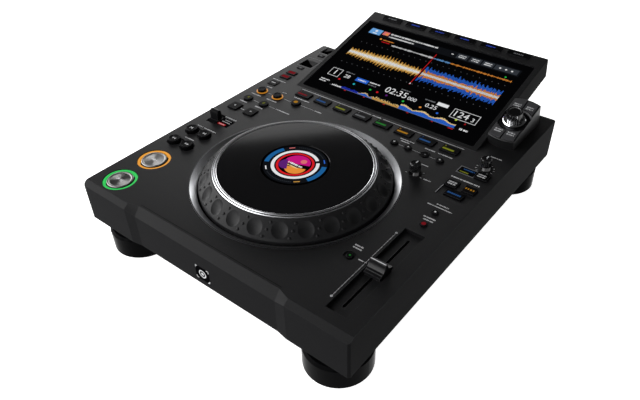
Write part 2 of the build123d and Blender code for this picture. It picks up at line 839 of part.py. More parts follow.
with BuildPart() as jog_plate:
    profile = [
        (hub_bore_radius, -hub_drop),
        (hub_bore_radius, plate_height - 0.5),
        (hub_bore_radius + 0.5, plate_height),
        (plate_radius, plate_height),
        (plate_radius, 10.4),
        (plate_seat_radius, 10.4),
        (plate_seat_radius, 12.4),
        (hub_bore_radius + hub_wall, 12.4),
        (hub_bore_radius + hub_wall, -hub_drop),
    ]
    revolve(jog_profile(profile), axis=jog_axis)
save(jog_plate, "jog_plate")

# Hollow spindle on the bottom case, with the race that the hub turns on.
with BuildPart() as jog_bearing:
    spindle_foot = floor_top - deck_height
    display_base = plate_height - 0.2 - display_thickness
    profile = [
        (spindle_radius - 4, spindle_foot),
        (spindle_radius - 4, display_base),
        (spindle_radius, display_base),
        (spindle_radius, -15.0),
        (hub_bore_radius - bearing_play, -15.0),
        (hub_bore_radius - bearing_play, -22.0),
        (spindle_radius, -22.0),
        (spindle_radius, -hub_drop - 0.4),
        (hub_bore_radius + hub_wall, -hub_drop - 0.4),
        (hub_bore_radius + hub_wall, -hub_drop - 3.0),
        (spindle_radius, -hub_drop - 3.0),
        (spindle_radius, spindle_foot + 3.0),
        (spindle_radius + 8, spindle_foot + 3.0),
        (spindle_radius + 8, spindle_foot),
    ]
    revolve(jog_profile(profile), axis=jog_axis)
save(jog_bearing, "jog_bearing")

with BuildPart() as jog_display:
    profile = [
        (0, display_base),
        (0, plate_height - 0.2),
        (display_radius - 0.6, plate_height - 0.2),
        (display_radius, plate_height - 0.8),
        (display_radius, display_base),
    ]
    revolve(jog_profile(profile), axis=jog_axis)
save(jog_display, "jog_display")

# ---- keys ------------------------------------------------------------------------------------------


def round_key(x, y, radius, rise):
    """Round key with a chamfered cap, held from below by its flange."""
    with BuildPart() as key:
        with BuildSketch(deck(x, y, rise)):
            Circle(radius)
        extrude(amount=-rise - flange_drop)
        chamfer(key.faces().sort_by(Axis.Z)[-1].edges(), 0.5)
        if rise > 3:
            with BuildSketch(deck(x, y, rise)):
                Circle(radius - 1.2)
            extrude(amount=-0.5, taper=45, mode=Mode.SUBTRACT)
        with BuildSketch(deck(x, y, -flange_drop)):
            Circle(radius + gap + flange_lip)
        extrude(amount=-flange_thickness)
        with BuildSketch(deck(x, y, -stem_end)):
            Circle(stem_radius)
        extrude(amount=stem_end - flange_drop - flange_thickness)
    return key


def square_key(x, y, key_width, key_depth, rise):
    """Rectangular key with rounded corners, held from below by its flange."""
    lip = gap + flange_lip
    with BuildPart() as key:
        with BuildSketch(deck(x, y, rise)):
            RectangleRounded(key_width, key_depth, 0.9)
        extrude(amount=-rise - flange_drop)
        chamfer(key.faces().sort_by(Axis.Z)[-1].edges(), 0.35)
        with BuildSketch(deck(x, y, -flange_drop)):
            Rectangle(key_width + 2 * lip, key_depth + 2 * lip)
        extrude(amount=-flange_thickness)
        with BuildSketch(deck(x, y, -stem_end)):
            Circle(stem_radius)
        extrude(amount=stem_end - flange_drop - flange_thickness)
    return key


for name, place in round_keys.items():
    save(round_key(*place), name)

for name, place in square_keys.items():
    save(square_key(*place), name)

with BuildPart() as small_keys:
    for place in column_keys:
        add(square_key(*place).part)
save(small_keys, "column_keys")

# Start keys: wide caps with a dished top, each inside its lit ring.
for name, y in start_keys.items():
    with BuildPart() as start_key:
        with BuildSketch(deck(start_x, y, start_cap_rise)):
            Circle(start_cap_radius)
        extrude(amount=-start_cap_rise - start_flange_drop)
        chamfer(start_key.faces().sort_by(Axis.Z)[-1].edges(), 0.8)
        with BuildSketch(deck(start_x, y, start_cap_rise)):
            Circle(start_cap_radius - 1.6)
        extrude(amount=-0.7, taper=60, mode=Mode.SUBTRACT)
        with BuildSketch(deck(start_x, y, -start_flange_drop)):
            Circle(start_ring_bore + start_flange_lip)
        extrude(amount=-flange_thickness)
        with BuildSketch(deck(start_x, y, -stem_end)):
            Circle(stem_radius)
        extrude(amount=stem_end - start_flange_drop - flange_thickness)
    save(start_key, name)

# Light rings: two round the start keys, two round the loop keys.
with BuildPart() as light_rings:
    for y in start_keys.values():
        with BuildSketch(deck(start_x, y, -start_ring_drop)):
            Circle(start_ring_radius)
        extrude(amount=start_ring_drop - sheet)
    chamfer(light_rings.faces().group_by(Axis.Z)[-1].edges(), 0.3)
    with BuildSketch(deck(start_x, 0, -sheet)):
        with Locations(*[(0, y) for y in start_keys.values()]):
            Circle(start_ring_radius + 2.5)
        with Locations((0, 2)):
            Rectangle(60, 20.6, mode=Mode.SUBTRACT)
    extrude(amount=-1.5)
    with BuildSketch(deck(start_x, 0, -start_ring_drop)):
        with Locations(*[(0, y) for y in start_keys.values()]):
            Circle(start_ring_bore)
    extrude(amount=-sheet - 2, mode=Mode.SUBTRACT)
    for name in ("loop_in", "loop_out"):
        with BuildSketch(deck(round_keys[name][0], round_keys[name][1], -1.0)):
            Circle(loop_ring_radius)
            Circle(round_keys[name][2] + gap, mode=Mode.SUBTRACT)
        extrude(amount=1.8)
save(light_rings, "light_rings")

# ---- knobs ------------------------------------------------------------------------------------------
for name, (x, y) in knobs.items():
    with BuildPart() as knob:
        with BuildSketch(Plane.XZ.offset(-front - y)):
            with BuildLine():
                Polyline(
                    (left + x, deck_height + 0.5),
                    (left + x + knob_skirt_radius, deck_height + 0.5),
                    (left + x + knob_skirt_radius - 0.2, deck_height + 1.4),
                    (left + x + knob_radius + 0.2, deck_height + knob_skirt_height),
                    (left + x + knob_radius, deck_height + knob_height - 0.6),
                    (left + x + knob_radius - 0.6, deck_height + knob_height),
                    (left + x, deck_height + knob_height),
                    close=True,
                )
            make_face()
        revolve(axis=Axis((left + x, front + y, 0), (0, 0, 1)))
        with BuildSketch(deck(x, y, knob_skirt_height)):
            with PolarLocations(knob_radius + 0.45, 16):
                Circle(0.7)
        extrude(amount=knob_height, mode=Mode.SUBTRACT)
        with BuildSketch(deck(x, y, 0.5)):
            Circle(knob_shaft)
        extrude(amount=-7.5)
    save(knob, name)

# ---- direction lever: blade on a drum that rocks on a cross pin ------------------------------------
with BuildPart() as direction_lever:
    pin_height = deck_height - lever_axis_drop
    with BuildSketch(Plane.YZ.offset(left + lever_x)) as drum:
        with Locations((front + lever_y, pin_height)):
            Circle(lever_drum_radius)
        with Locations((front + lever_y, pin_height - lever_drum_radius / 2 - 2.2)):
            Rectangle(3 * lever_drum_radius, lever_drum_radius, mode=Mode.SUBTRACT)
    extrude(amount=lever_drum_width / 2, both=True)
    with BuildSketch(Plane.YZ.offset(left + lever_x)):
        blade_y = front + lever_y
        blade_half = lever_blade_thickness / 2
        blade_foot = blade_half + 0.6
        blade_tip = deck_height + lever_blade_height
        front_shoulder = (blade_y - blade_half, blade_tip - blade_half)
        rear_shoulder = (blade_y + blade_half, blade_tip - blade_half)
        with BuildLine():
            Line((blade_y - blade_foot, pin_height), front_shoulder)
            ThreePointArc(front_shoulder, (blade_y, blade_tip), rear_shoulder)
            Line(rear_shoulder, (blade_y + blade_foot, pin_height))
            Line((blade_y + blade_foot, pin_height), (blade_y - blade_foot, pin_height))
        make_face()
    extrude(amount=lever_blade_width / 2, both=True)
    with BuildSketch(Plane.YZ.offset(left + lever_x)):
        with Locations((front + lever_y, pin_height)):
            Circle(lever_pin_radius)
    extrude(amount=lever_slot_width / 2 + 2.4, both=True)
save(direction_lever, "direction_lever")

# ---- tempo fader: sliding cap with stepped flanks, and the fader body under the recess ----------------
with BuildPart() as tempo_slider:
    cap_floor = deck_height - fader_recess_depth + cap_lift
    middle_y = front + fader_y
    treads = [(middle_y + y, deck_height + z) for y, z in cap_treads]
    flank_middle = (middle_y + cap_flank[0], deck_height + cap_flank[1])
    ridge_edge = (middle_y + cap_ridge, deck_height + cap_height)
    with BuildSketch(Plane.YZ.offset(left + fader_x)):
        with BuildLine():
            Polyline((middle_y, cap_floor), (middle_y + cap_length / 2, cap_floor), *treads)
            ThreePointArc(treads[-1], flank_middle, ridge_edge)
            Polyline(ridge_edge, (middle_y, ridge_edge[1]), (middle_y, cap_floor))
        make_face()
        mirror(about=Plane.YZ.offset(middle_y))
    extrude(amount=cap_width / 2, both=True)
    with BuildSketch(Plane.XY.offset(deck_height - 13)):
        with Locations((left + fader_x, middle_y)):
            Rectangle(1.8, 5.0)
    extrude(amount=cap_floor - deck_height + 13)
    with BuildSketch(Plane.XY.offset(deck_height - 13)):
        with Locations((left + fader_x, middle_y)):
            Rectangle(6.4, 10.0)
    extrude(amount=3.0)
save(tempo_slider, "tempo_slider")

with BuildPart() as tempo_fader:
    fader_top = deck_height - fader_recess_depth - sheet
    with BuildSketch(Plane.XY.offset(fader_top)):
        with Locations((left + fader_x, front + fader_y)):
            Rectangle(16, 120)
    extrude(amount=-14)
    with BuildSketch(Plane.XY.offset(fader_top - 1.5)):
        with Locations((left + fader_x, front + fader_y)):
            Rectangle(9, 108)
    extrude(amount=-9.5, mode=Mode.SUBTRACT)
    with BuildSketch(Plane.XY.offset(fader_top)):
        with Locations((left + fader_x, front + fader_y)):
            SlotOverall(fader_slot_length + 2, 3.2, rotation=90)
    extrude(amount=-2, mode=Mode.SUBTRACT)
save(tempo_fader, "tempo_fader")

# ---- circuit boards: key board, main board, screen key board and pod board --------------------------
with BuildPart() as circuit_boards:
    board_top = deck_height - board_drop
    with BuildSketch(Plane.XY.offset(board_top)):
        with Locations((0, front + key_board_y)):
            Rectangle(*key_board)
        with Locations((60, front + 330)):
            Rectangle(360, 108, mode=Mode.SUBTRACT)
        with Locations((0, front + 10)):
            Rectangle(170, 60, mode=Mode.SUBTRACT)
        with Locations((left + jog_x, front + jog_y)):
            Circle(bezel_flange + 4, mode=Mode.SUBTRACT)
        with Locations((left + fader_x, front + fader_y)):
            Rectangle(20, 126, mode=Mode.SUBTRACT)
        with Locations((left + lever_x, front + lever_y)):
            Rectangle(24, 40, mode=Mode.SUBTRACT)
        for port_x, port_y, port_width, shell_width, shell_thickness in ports:
            with Locations((left + port_x, front + port_y + 4)):
                Rectangle(32, 22, mode=Mode.SUBTRACT)
        with Locations(*posts):
            Circle(post_radius + 1, mode=Mode.SUBTRACT)
    extrude(amount=-board_thickness)
    with BuildSketch(Plane.XY.offset(board_top)):
        with Locations(*key_places()):
            Rectangle(switch_size, switch_size)
    extrude(amount=switch_height)
    with BuildSketch(Plane.XY.offset(board_top)):
        with Locations(*[(left + x, front + y) for x, y in knobs.values()]):
            Rectangle(knob_pot[0], knob_pot[0])
    extrude(amount=knob_pot[1])

    # Main board with its processor, memory and plugs.
    main_top = floor_top + floor_board_lift + board_thickness
    with BuildSketch(Plane.XY.offset(main_top)):
        with Locations(main_board_place):
            Rectangle(*main_board)
        with Locations(*posts):
            Circle(post_radius + 1, mode=Mode.SUBTRACT)
    extrude(amount=-board_thickness)
    with BuildSketch(Plane.XY.offset(main_top)):
        with Locations((-60, 60)):
            Rectangle(processor_size, processor_size)
        with Locations((-60, 92)):
            with GridLocations(16, 0, 2, 1):
                Rectangle(11, 9)
    extrude(amount=2.0)
    with BuildSketch(Plane.XY.offset(main_top)):
        with Locations((-72, -2)):
            with GridLocations(30, 0, 3, 1):
                Rectangle(20, 6)
    extrude(amount=6.0)

    # Strip behind the screen keys, and the pod board with the encoder of the selector.
    strip_rise = -screen_panel - 7.0
    with BuildSketch(screen_plane(screen_key_place, strip_rise)):
        Rectangle(screen_key_pitch * 6, screen_key_length)
    extrude(amount=-board_thickness)
    with BuildSketch(screen_plane(screen_key_place, strip_rise)):
        with GridLocations(screen_key_pitch, 0, 6, 1):
            Rectangle(switch_size, switch_size)
    extrude(amount=1.4)
    with BuildSketch(screen_plane(pod_middle, -2.5, pod_x)):
        Rectangle(24, 60)
    extrude(amount=-board_thickness)
    with BuildSketch(screen_plane(pod_middle, -2.5, pod_x)):
        with Locations(*pod_key_places):
            Rectangle(switch_size, switch_size)
    extrude(amount=1.5)
    with BuildSketch(screen_plane(pod_dial, -2.5, pod_x)):
        Rectangle(12, 12)
    extrude(amount=4.0)
save(circuit_boards, "circuit_boards")

# ---- power supply beside the mains inlet --------------------------------------------------------------
with BuildPart() as power_supply:
    supply_top = floor_top + floor_board_lift + board_thickness
    with BuildSketch(Plane.XY.offset(supply_top)):
        with Locations(supply_place):
            Rectangle(*supply_board)
    extrude(amount=-board_thickness)
    with BuildSketch(Plane.XY.offset(supply_top)):
        with Locations((42, 108)):
            Rectangle(*transformer[:2])
    extrude(amount=transformer[2])
    with BuildSketch(Plane.XY.offset(supply_top)):
        with Locations((74, 100), (74, 122)):
            Circle(capacitor_radius)
    extrude(amount=capacitor_height)
    with BuildSketch(Plane.XY.offset(supply_top)):
        with Locations((14, 112)):
            with GridLocations(5, 0, 3, 1):
                Rectangle(2, 44)
            Rectangle(12, 2)
    extrude(amount=18)
save(power_supply, "power_supply")

# ---- sockets: mains inlet, network, three round jacks, and the shells of the stick ports ---------------
rear_face = Plane.XZ.offset(-rear)
with BuildPart() as sockets:
    # Mains inlet: chamfered pocket with three blades.
    with BuildSketch(rear_face.offset(-1.5)):
        with Locations((inlet_x, socket_height)):
            RectangleRounded(*inlet_frame, 2)
    extrude(amount=1.5)
    with BuildSketch(rear_face):
        with Locations((inlet_x, socket_height)):
            Rectangle(inlet_hole[0] - 2 * hole_play, inlet_hole[1] - 2 * hole_play)
    extrude(amount=24)
    with BuildSketch(rear_face.offset(-1.5)) as pocket:
        with Locations((inlet_x, socket_height)):
            Rectangle(*inlet_pocket)
        chamfer(pocket.vertices().group_by(Axis.Y)[-1], 3.5)
    extrude(amount=17, mode=Mode.SUBTRACT)
    with BuildSketch(rear_face.offset(16)):
        with Locations((inlet_x - 7, socket_height - 1), (inlet_x + 7, socket_height - 1)):
            Rectangle(2, 4.4)
        with Locations((inlet_x, socket_height + 3.4)):
            Rectangle(2, 4.4)
    extrude(amount=-14)

    # Network socket, its lip behind the wall.
    with BuildSketch(rear_face):
        with Locations((lan_x, socket_height)):
            Rectangle(lan_hole[0] - 2 * hole_play, lan_hole[1] - 2 * hole_play)
    extrude(amount=14)
    with BuildSketch(rear_face.offset(sheet)):
        with Locations((lan_x, socket_height)):
            Rectangle(20, 18)
    extrude(amount=2)
    with BuildSketch(rear_face):
        with Locations((lan_x, socket_height - 1)):
            Rectangle(11.8, 7.4)
        with Locations((lan_x, socket_height + 3.2)):
            Rectangle(6.0, 3.0)
    extrude(amount=12, mode=Mode.SUBTRACT)

    # Round jacks.
    jack_places = [(x, socket_height) for x in round_jacks]
    with BuildSketch(rear_face.offset(sheet)):
        with Locations(*jack_places):
            Rectangle(13, 13)
    extrude(amount=9)
    with BuildSketch(rear_face.offset(-1.2)):
        with Locations(*jack_places):
            Circle(jack_collar_radius)
    extrude(amount=1.2 + sheet)
    with BuildSketch(rear_face.offset(-9)):
        with Locations(*jack_places):
            Circle(4.15)
    extrude(amount=9)
    with BuildSketch(rear_face.offset(-9)):
        with Locations(*jack_places):
            Circle(1.7)
    extrude(amount=10, mode=Mode.SUBTRACT)

    # Stick port shells: upright sleeves with a tongue, on a plate under the well.
    for port_x, port_y, port_width, shell_width, shell_thickness in ports:
        shell_length = port_shell_end - port_shell_top
        with BuildSketch(deck(port_x, port_y, -port_well_depth)):
            Rectangle(port_width + 5, port_slot_length + 5)
        extrude(amount=-1.2)
        with BuildSketch(deck(port_x, port_y, -port_shell_top)):
            Rectangle(shell_width, shell_thickness)
        extrude(amount=-shell_length)
        with BuildSketch(deck(port_x, port_y, -port_shell_top)):
            Rectangle(shell_width - 0.9, shell_thickness - 0.9)
        extrude(amount=1.2 - shell_length, mode=Mode.SUBTRACT)
        with BuildSketch(deck(port_x, port_y, -port_shell_end + 1)):
            with Locations((0, 0.85 - shell_thickness / 2)):
                Rectangle(shell_width - 2.4, 0.8)
        extrude(amount=9)
save(sockets, "sockets")

# ---- power key at the rear -----------------------------------------------------------------------------
with BuildPart() as power_button:
    with BuildSketch(rear_face.offset(-1.6)):
        with Locations((power_button_x, socket_height)):
            RectangleRounded(power_hole[0] - 2 * gap, power_hole[1] - 2 * gap, 1.0)
    extrude(amount=1.6 + sheet + 0.4)
    chamfer(power_button.faces().sort_by(Axis.Y)[-1].edges(), 0.4)
    with BuildSketch(rear_face.offset(sheet + 0.4)):
        with Locations((power_button_x, socket_height)):
            Rectangle(power_hole[0] + 2 * flange_lip, power_hole[1] + 2 * flange_lip)
    extrude(amount=flange_thickness)
    with BuildSketch(rear_face.offset(sheet + 1.4)):
        with Locations((power_button_x, socket_height)):
            Circle(stem_radius)
    extrude(amount=4.0)
save(power_button, "power_button")
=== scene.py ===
"""Tabletop player: finishes, printed marks, lit keys, screen picture and stage.

Places on the deck are millimetres from its left and front edges. Places on the screen are
millimetres from its middle and up its slope.
"""

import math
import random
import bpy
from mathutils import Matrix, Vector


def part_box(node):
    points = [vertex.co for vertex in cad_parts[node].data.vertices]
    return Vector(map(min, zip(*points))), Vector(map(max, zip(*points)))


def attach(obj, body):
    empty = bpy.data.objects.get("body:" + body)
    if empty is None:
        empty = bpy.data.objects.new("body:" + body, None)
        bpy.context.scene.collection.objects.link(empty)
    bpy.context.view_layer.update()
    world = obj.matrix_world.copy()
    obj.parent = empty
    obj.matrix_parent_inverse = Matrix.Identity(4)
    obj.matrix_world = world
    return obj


bl_info = {
    "name": "Tabletop player",
    "version": (1, 0, 0),
    "blender": (4, 5, 0),
    "location": "View3D > Sidebar > Player",
    "description": "Dresses the packed tabletop player and sets up its studio",
    "category": "Object",
}

import bmesh
import bpy
from bpy.props import FloatProperty, FloatVectorProperty, IntProperty, PointerProperty
from bpy.types import Operator, Panel, PropertyGroup
from mathutils import Matrix, Vector

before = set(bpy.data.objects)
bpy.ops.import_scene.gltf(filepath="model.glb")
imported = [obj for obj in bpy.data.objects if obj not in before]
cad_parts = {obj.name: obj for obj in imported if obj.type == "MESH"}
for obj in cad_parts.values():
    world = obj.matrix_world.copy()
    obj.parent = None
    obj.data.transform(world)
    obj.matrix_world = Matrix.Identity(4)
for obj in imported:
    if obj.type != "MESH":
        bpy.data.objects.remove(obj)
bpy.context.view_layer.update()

MM = 0.001
ROOT = "player_body"

# ---- planes that the marks lie on
panel_low, panel_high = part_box("top_panel")
glass_low, glass_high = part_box("screen_glass")
SCREEN_TILT = math.radians(13.0)
# Millimetres from the slab's front edge to the glass, up the slope.
GLASS_START = 5.5
GLASS_THICKNESS = 1.5


def axis_foot(node):
    """Foot of the upright axis through a node's middle."""
    low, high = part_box(node)
    return Vector(((low.x + high.x) / 2, (low.y + high.y) / 2, 0.0))


def level_plane(place, z):
    """Level plane in millimetres, with its origin over a place and at height z, both in metres."""
    return Matrix.Translation((place.x, place.y, z)) @ Matrix.Scale(MM, 4)


def above(plane, rise):
    """The plane raised by rise millimetres."""
    return plane @ Matrix.Translation((0, 0, rise))


def top_of(node):
    """Plane on top of a node, with its origin over the node's middle."""
    return level_plane(axis_foot(node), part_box(node)[1].z)


DECK = level_plane(panel_low, panel_high.z)
JOG = level_plane(axis_foot("jog_display"), panel_high.z)
hinge = Vector((0.0, glass_low.y - GLASS_START * MM * math.cos(SCREEN_TILT), panel_high.z))
SCREEN = Matrix.Translation(hinge) @ Matrix.Rotation(SCREEN_TILT, 4, "X") @ Matrix.Scale(MM, 4)
knob_low, knob_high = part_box("selector_knob")
dial = SCREEN.inverted() @ ((knob_low + knob_high) / 2)


# ---- shader node groups
materials = {}
groups = {}


def new_group(name, inputs, outputs):
    """Empty shared shader node group with the named sockets, and its two ends."""
    group = bpy.data.node_groups.new(name, "ShaderNodeTree")
    for label, kind, value in inputs:
        socket = group.interface.new_socket(label, in_out="INPUT", socket_type=kind)
        socket.default_value = value
    for label in outputs:
        group.interface.new_socket(label, in_out="OUTPUT", socket_type="NodeSocketFloat")
    groups[name] = group
    return group, group.nodes.new("NodeGroupInput"), group.nodes.new("NodeGroupOutput")


def feed(tree, value, socket):
    """Set a socket to a number or colour, or link another node's output to it."""
    if isinstance(value, (int, float, tuple)):
        socket.default_value = value
    else:
        tree.links.new(value, socket)


def math_node(tree, operation, *values, clamp=False):
    """Math node whose inputs are numbers or other nodes' outputs."""
    node = tree.nodes.new("ShaderNodeMath")
    node.operation = operation
    node.use_clamp = clamp
    for value, socket in zip(values, node.inputs):
        feed(tree, value, socket)
    return node.outputs[0]


def vector_node(tree, operation, first, second):
    """Vector math node on two outputs."""
    node = tree.nodes.new("ShaderNodeVectorMath")
    node.operation = operation
    tree.links.new(first, node.inputs[0])
    tree.links.new(second, node.inputs[1])
    return node


def split_axes(tree, vector):
    """X, Y and Z of a vector output."""
    node = tree.nodes.new("ShaderNodeSeparateXYZ")
    tree.links.new(vector, node.inputs[0])
    return node.outputs


def object_place(tree):
    """Object coordinates, which are metres in the player's own frame."""
    return tree.nodes.new("ShaderNodeTexCoord").outputs["Object"]


def noise(tree, place, scale, detail, roughness):
    """Noise over the surface; scale is a number or an output."""
    node = tree.nodes.new("ShaderNodeTexNoise")
    node.inputs["Detail"].default_value = detail
    node.inputs["Roughness"].default_value = roughness
    tree.links.new(place, node.inputs["Vector"])
    feed(tree, scale, node.inputs["Scale"])
    return node.outputs["Fac"]


def build_grain_group():
    """Moulded grain: fine pits over slow blotches."""
    group, enter, leave = new_group(
        "moulded_grain",
        [("Scale", "NodeSocketFloat", 2500.0), ("Blotch", "NodeSocketFloat", 0.15)],
        ["Height", "Shade"],
    )
    place = object_place(group)
    pits = noise(group, place, enter.outputs["Scale"], detail=3.0, roughness=0.6)
    slow = noise(group, place, 28.0, detail=4.0, roughness=0.55)
    shift = math_node(group, "SUBTRACT", slow, 0.5)
    blotch = math_node(group, "MULTIPLY", shift, enter.outputs["Blotch"])
    fine = math_node(group, "MULTIPLY", math_node(group, "SUBTRACT", pits, 0.5), 0.25)
    shade = math_node(group, "ADD", math_node(group, "ADD", blotch, fine), 0.5, clamp=True)
    group.links.new(pits, leave.inputs["Height"])
    group.links.new(shade, leave.inputs["Shade"])


def build_wear_group():
    """Lighter edges, for wear and as a painted edge highlight: 1 on edges, broken up, 0 elsewhere."""
    group, enter, leave = new_group(
        "edge_wear_and_highlight",
        [("Radius", "NodeSocketFloat", 0.0005), ("Break Up", "NodeSocketFloat", 300.0)],
        ["Mask"],
    )
    bevel = group.nodes.new("ShaderNodeBevel")
    bevel.samples = 4
    group.links.new(enter.outputs["Radius"], bevel.inputs["Radius"])
    flat = group.nodes.new("ShaderNodeNewGeometry")
    dot = vector_node(group, "DOT_PRODUCT", bevel.outputs[0], flat.outputs["Normal"])
    edge = math_node(group, "SUBTRACT", 1.0, dot.outputs["Value"])
    patchy = noise(group, object_place(group), enter.outputs["Break Up"], detail=3.0, roughness=0.6)
    strong = math_node(group, "MULTIPLY", edge, 6.0)
    worn_and_highlit = math_node(group, "MULTIPLY", strong, patchy, clamp=True)
    group.links.new(worn_and_highlit, leave.inputs["Mask"])


def build_turned_group():
    """Turned lines: fine circles round an upright axis at Centre."""
    group, enter, leave = new_group(
        "turned_lines",
        [("Centre", "NodeSocketVector", (0, 0, 0)), ("Scale", "NodeSocketFloat", 4000.0)],
        ["Height", "Shade"],
    )
    offset = vector_node(group, "SUBTRACT", object_place(group), enter.outputs["Centre"])
    axes = split_axes(group, offset.outputs[0])
    squares = [math_node(group, "POWER", axes[axis], 2.0) for axis in "XY"]
    reach = math_node(group, "SQRT", math_node(group, "ADD", *squares))
    line = group.nodes.new("ShaderNodeTexNoise")
    line.noise_dimensions = "1D"
    line.inputs["Detail"].default_value = 3.0
    line.inputs["Scale"].default_value = 1.0
    group.links.new(math_node(group, "MULTIPLY", reach, enter.outputs["Scale"]), line.inputs["W"])
    for end in ("Height", "Shade"):
        group.links.new(line.outputs["Fac"], leave.inputs[end])


def build_dust_group():
    """Settled dust: sparse specks on faces that look up."""
    group, enter, leave = new_group("settled_dust", [("Amount", "NodeSocketFloat", 0.3)], ["Mask"])
    place = object_place(group)
    speck = noise(group, place, 1400.0, detail=1.0, roughness=0.4)
    patch = noise(group, place, 16.0, detail=2.0, roughness=0.5)
    sparse = math_node(group, "MULTIPLY", math_node(group, "SUBTRACT", speck, 0.66), 8.0, clamp=True)
    flat = group.nodes.new("ShaderNodeNewGeometry")
    up = math_node(group, "MAXIMUM", split_axes(group, flat.outputs["Normal"])["Z"], 0.0)
    lying = math_node(group, "MULTIPLY", math_node(group, "MULTIPLY", sparse, patch), up)
    amount = math_node(group, "MULTIPLY", lying, enter.outputs["Amount"], clamp=True)
    group.links.new(amount, leave.inputs["Mask"])


# ---- materials
def linear(colour):
    """Linear RGBA of an sRGB colour given as 0 to 255."""
    parts = [value / 255 for value in colour]
    parts = [p / 12.92 if p <= 0.04045 else ((p + 0.055) / 1.055) ** 2.4 for p in parts]
    return (*parts, 1.0)


def whole(colour):
    """Colour of a setting as numbers from 0 to 255."""
    return tuple(round(255 * value) for value in colour)


def scaled(colour, share):
    """Linear colour made darker or lighter."""
    return (*(min(1.0, value * share) for value in colour[:3]), 1.0)


def new_material(name):
    """New material kept under its name; its node tree and its shader."""
    material = bpy.data.materials.new(name)
    material.use_nodes = True
    materials[name] = material
    return material.node_tree, material.node_tree.nodes["Principled BSDF"]


def place_group(tree, name, **values):
    """Put a shared group into a material, with this material's own values."""
    node = tree.nodes.new("ShaderNodeGroup")
    node.node_tree = groups[name]
    for label, value in values.items():
        node.inputs[label].default_value = value
    return node.outputs


def mix_colour(tree, mask, first, second):
    """Colour between first and second; each is an RGBA value or an output."""
    node = tree.nodes.new("ShaderNodeMix")
    node.data_type = "RGBA"
    colour_a, colour_b = 6, 7
    feed(tree, mask, node.inputs[0])
    feed(tree, first, node.inputs[colour_a])
    feed(tree, second, node.inputs[colour_b])
    return node.outputs[2]


DUST = (150, 150, 148)
# Metres that the full height of a bump stands for.
BUMP_DISTANCE = 0.0001
# Swing of the roughness for each unit of tone, and share of a lit colour that its dim spots keep.
ROUGHNESS_SWING = 0.8
DIM_SHARE = 0.72


def finish(name, colour, roughness, metallic=0.0, grain=2500.0, depth=0.05, blotch=0.15, tone=0.25,
           wear_and_highlight=None, dust=0.0, turned=None, glow=None, strength=1.0, sharpness=0.5, anisotropy=0.0):
    """Material with moulded grain, and lighter edges for wear and painted highlight, dust, turned lines or
    glow where asked.

    tone is how far the colour swings, and sharpness how strongly the bare plastic mirrors.
    """
    tree, shader = new_material(name)
    grain_ends = place_group(tree, "moulded_grain", Scale=grain, Blotch=blotch)
    shade, height = grain_ends["Shade"], grain_ends["Height"]
    if turned is not None:
        lines = place_group(tree, "turned_lines", Centre=turned)
        shade = math_node(tree, "MULTIPLY", math_node(tree, "ADD", shade, lines["Shade"]), 0.5)
        height = lines["Height"]
    base = linear(colour)
    tint = mix_colour(tree, shade, scaled(base, 1 - tone), scaled(base, 1 + tone))
    # Lighter edges stand for wear and are also a painted edge highlight.
    if wear_and_highlight is not None:
        tint = mix_colour(tree, place_group(tree, "edge_wear_and_highlight")["Mask"], tint, linear(wear_and_highlight))
    if dust:
        tint = mix_colour(tree, place_group(tree, "settled_dust", Amount=dust)["Mask"], tint, linear(DUST))
    tree.links.new(tint, shader.inputs["Base Color"])
    swing = ROUGHNESS_SWING * tone
    spread = math_node(tree, "MULTIPLY", math_node(tree, "SUBTRACT", shade, 0.5), swing)
    tree.links.new(math_node(tree, "ADD", spread, roughness, clamp=True), shader.inputs["Roughness"])
    shader.inputs["Metallic"].default_value = metallic
    shader.inputs["Specular IOR Level"].default_value = sharpness
    bump = tree.nodes.new("ShaderNodeBump")
    bump.inputs["Strength"].default_value = depth
    bump.inputs["Distance"].default_value = BUMP_DISTANCE
    tree.links.new(height, bump.inputs["Height"])
    tree.links.new(bump.outputs[0], shader.inputs["Normal"])
    if anisotropy:
        shader.inputs["Anisotropic"].default_value = anisotropy
        tangent = tree.nodes.new("ShaderNodeTangent")
        tangent.direction_type = "RADIAL"
        tangent.axis = "Z"
        tree.links.new(tangent.outputs[0], shader.inputs["Tangent"])
    if glow is not None:
        lit = linear(glow)
        light = mix_colour(tree, shade, scaled(lit, DIM_SHARE), lit)
        tree.links.new(light, shader.inputs["Emission Color"])
        shader.inputs["Emission Strength"].default_value = strength


def clear_glass(name):
    """Cover glass of the screen: all but clear, without a mirror, its tint faintly uneven."""
    tree, shader = new_material(name)
    shade = place_group(tree, "moulded_grain", Scale=900.0, Blotch=0.6)["Shade"]
    tint = mix_colour(tree, shade, linear((10, 12, 14)), linear((14, 16, 18)))
    tree.links.new(tint, shader.inputs["Base Color"])
    shader.inputs["Alpha"].default_value = 0.05
    shader.inputs["Specular IOR Level"].default_value = 0.0
    shader.inputs["Roughness"].default_value = 0.08


START_KEYS = ("play_button", "cue_button")
INKS = {
    "print_white": (205, 206, 208),
    "print_grey": (112, 113, 116),
    "print_black": (8, 8, 9),
    "print_red": (196, 34, 40),
}
# Lit marks: colour and strength of the light.
LIT_MARKS = {
    "lamp_red": ((190, 40, 52), 0.3),
    "lamp_blue": ((60, 120, 200), 0.35),
    "lamp_deep_blue": ((60, 90, 230), 0.5),
    "lamp_lime": ((196, 205, 60), 0.3),
    "lamp_white": ((190, 192, 196), 0.2),
    "lamp_green": ((60, 180, 70), 0.35),
    "lamp_amber": ((235, 165, 40), 0.45),
}
PICTURE_COLOURS = {
    "black": (3, 3, 4), "dark": (16, 18, 22), "slate": (52, 56, 62), "grey": (120, 122, 126),
    "white": (240, 241, 243), "cream": (244, 214, 150), "gold": (214, 158, 70), "orange": (240, 150, 60),
    "red": (222, 30, 36), "pink": (228, 120, 120), "magenta": (206, 24, 132), "purple": (96, 34, 120),
    "blue": (44, 104, 214), "deep_blue": (30, 48, 170), "steel_blue": (30, 100, 160), "sky": (110, 170, 232),
    "cyan": (40, 190, 200), "green": (40, 190, 70), "lime": (190, 210, 60),
}


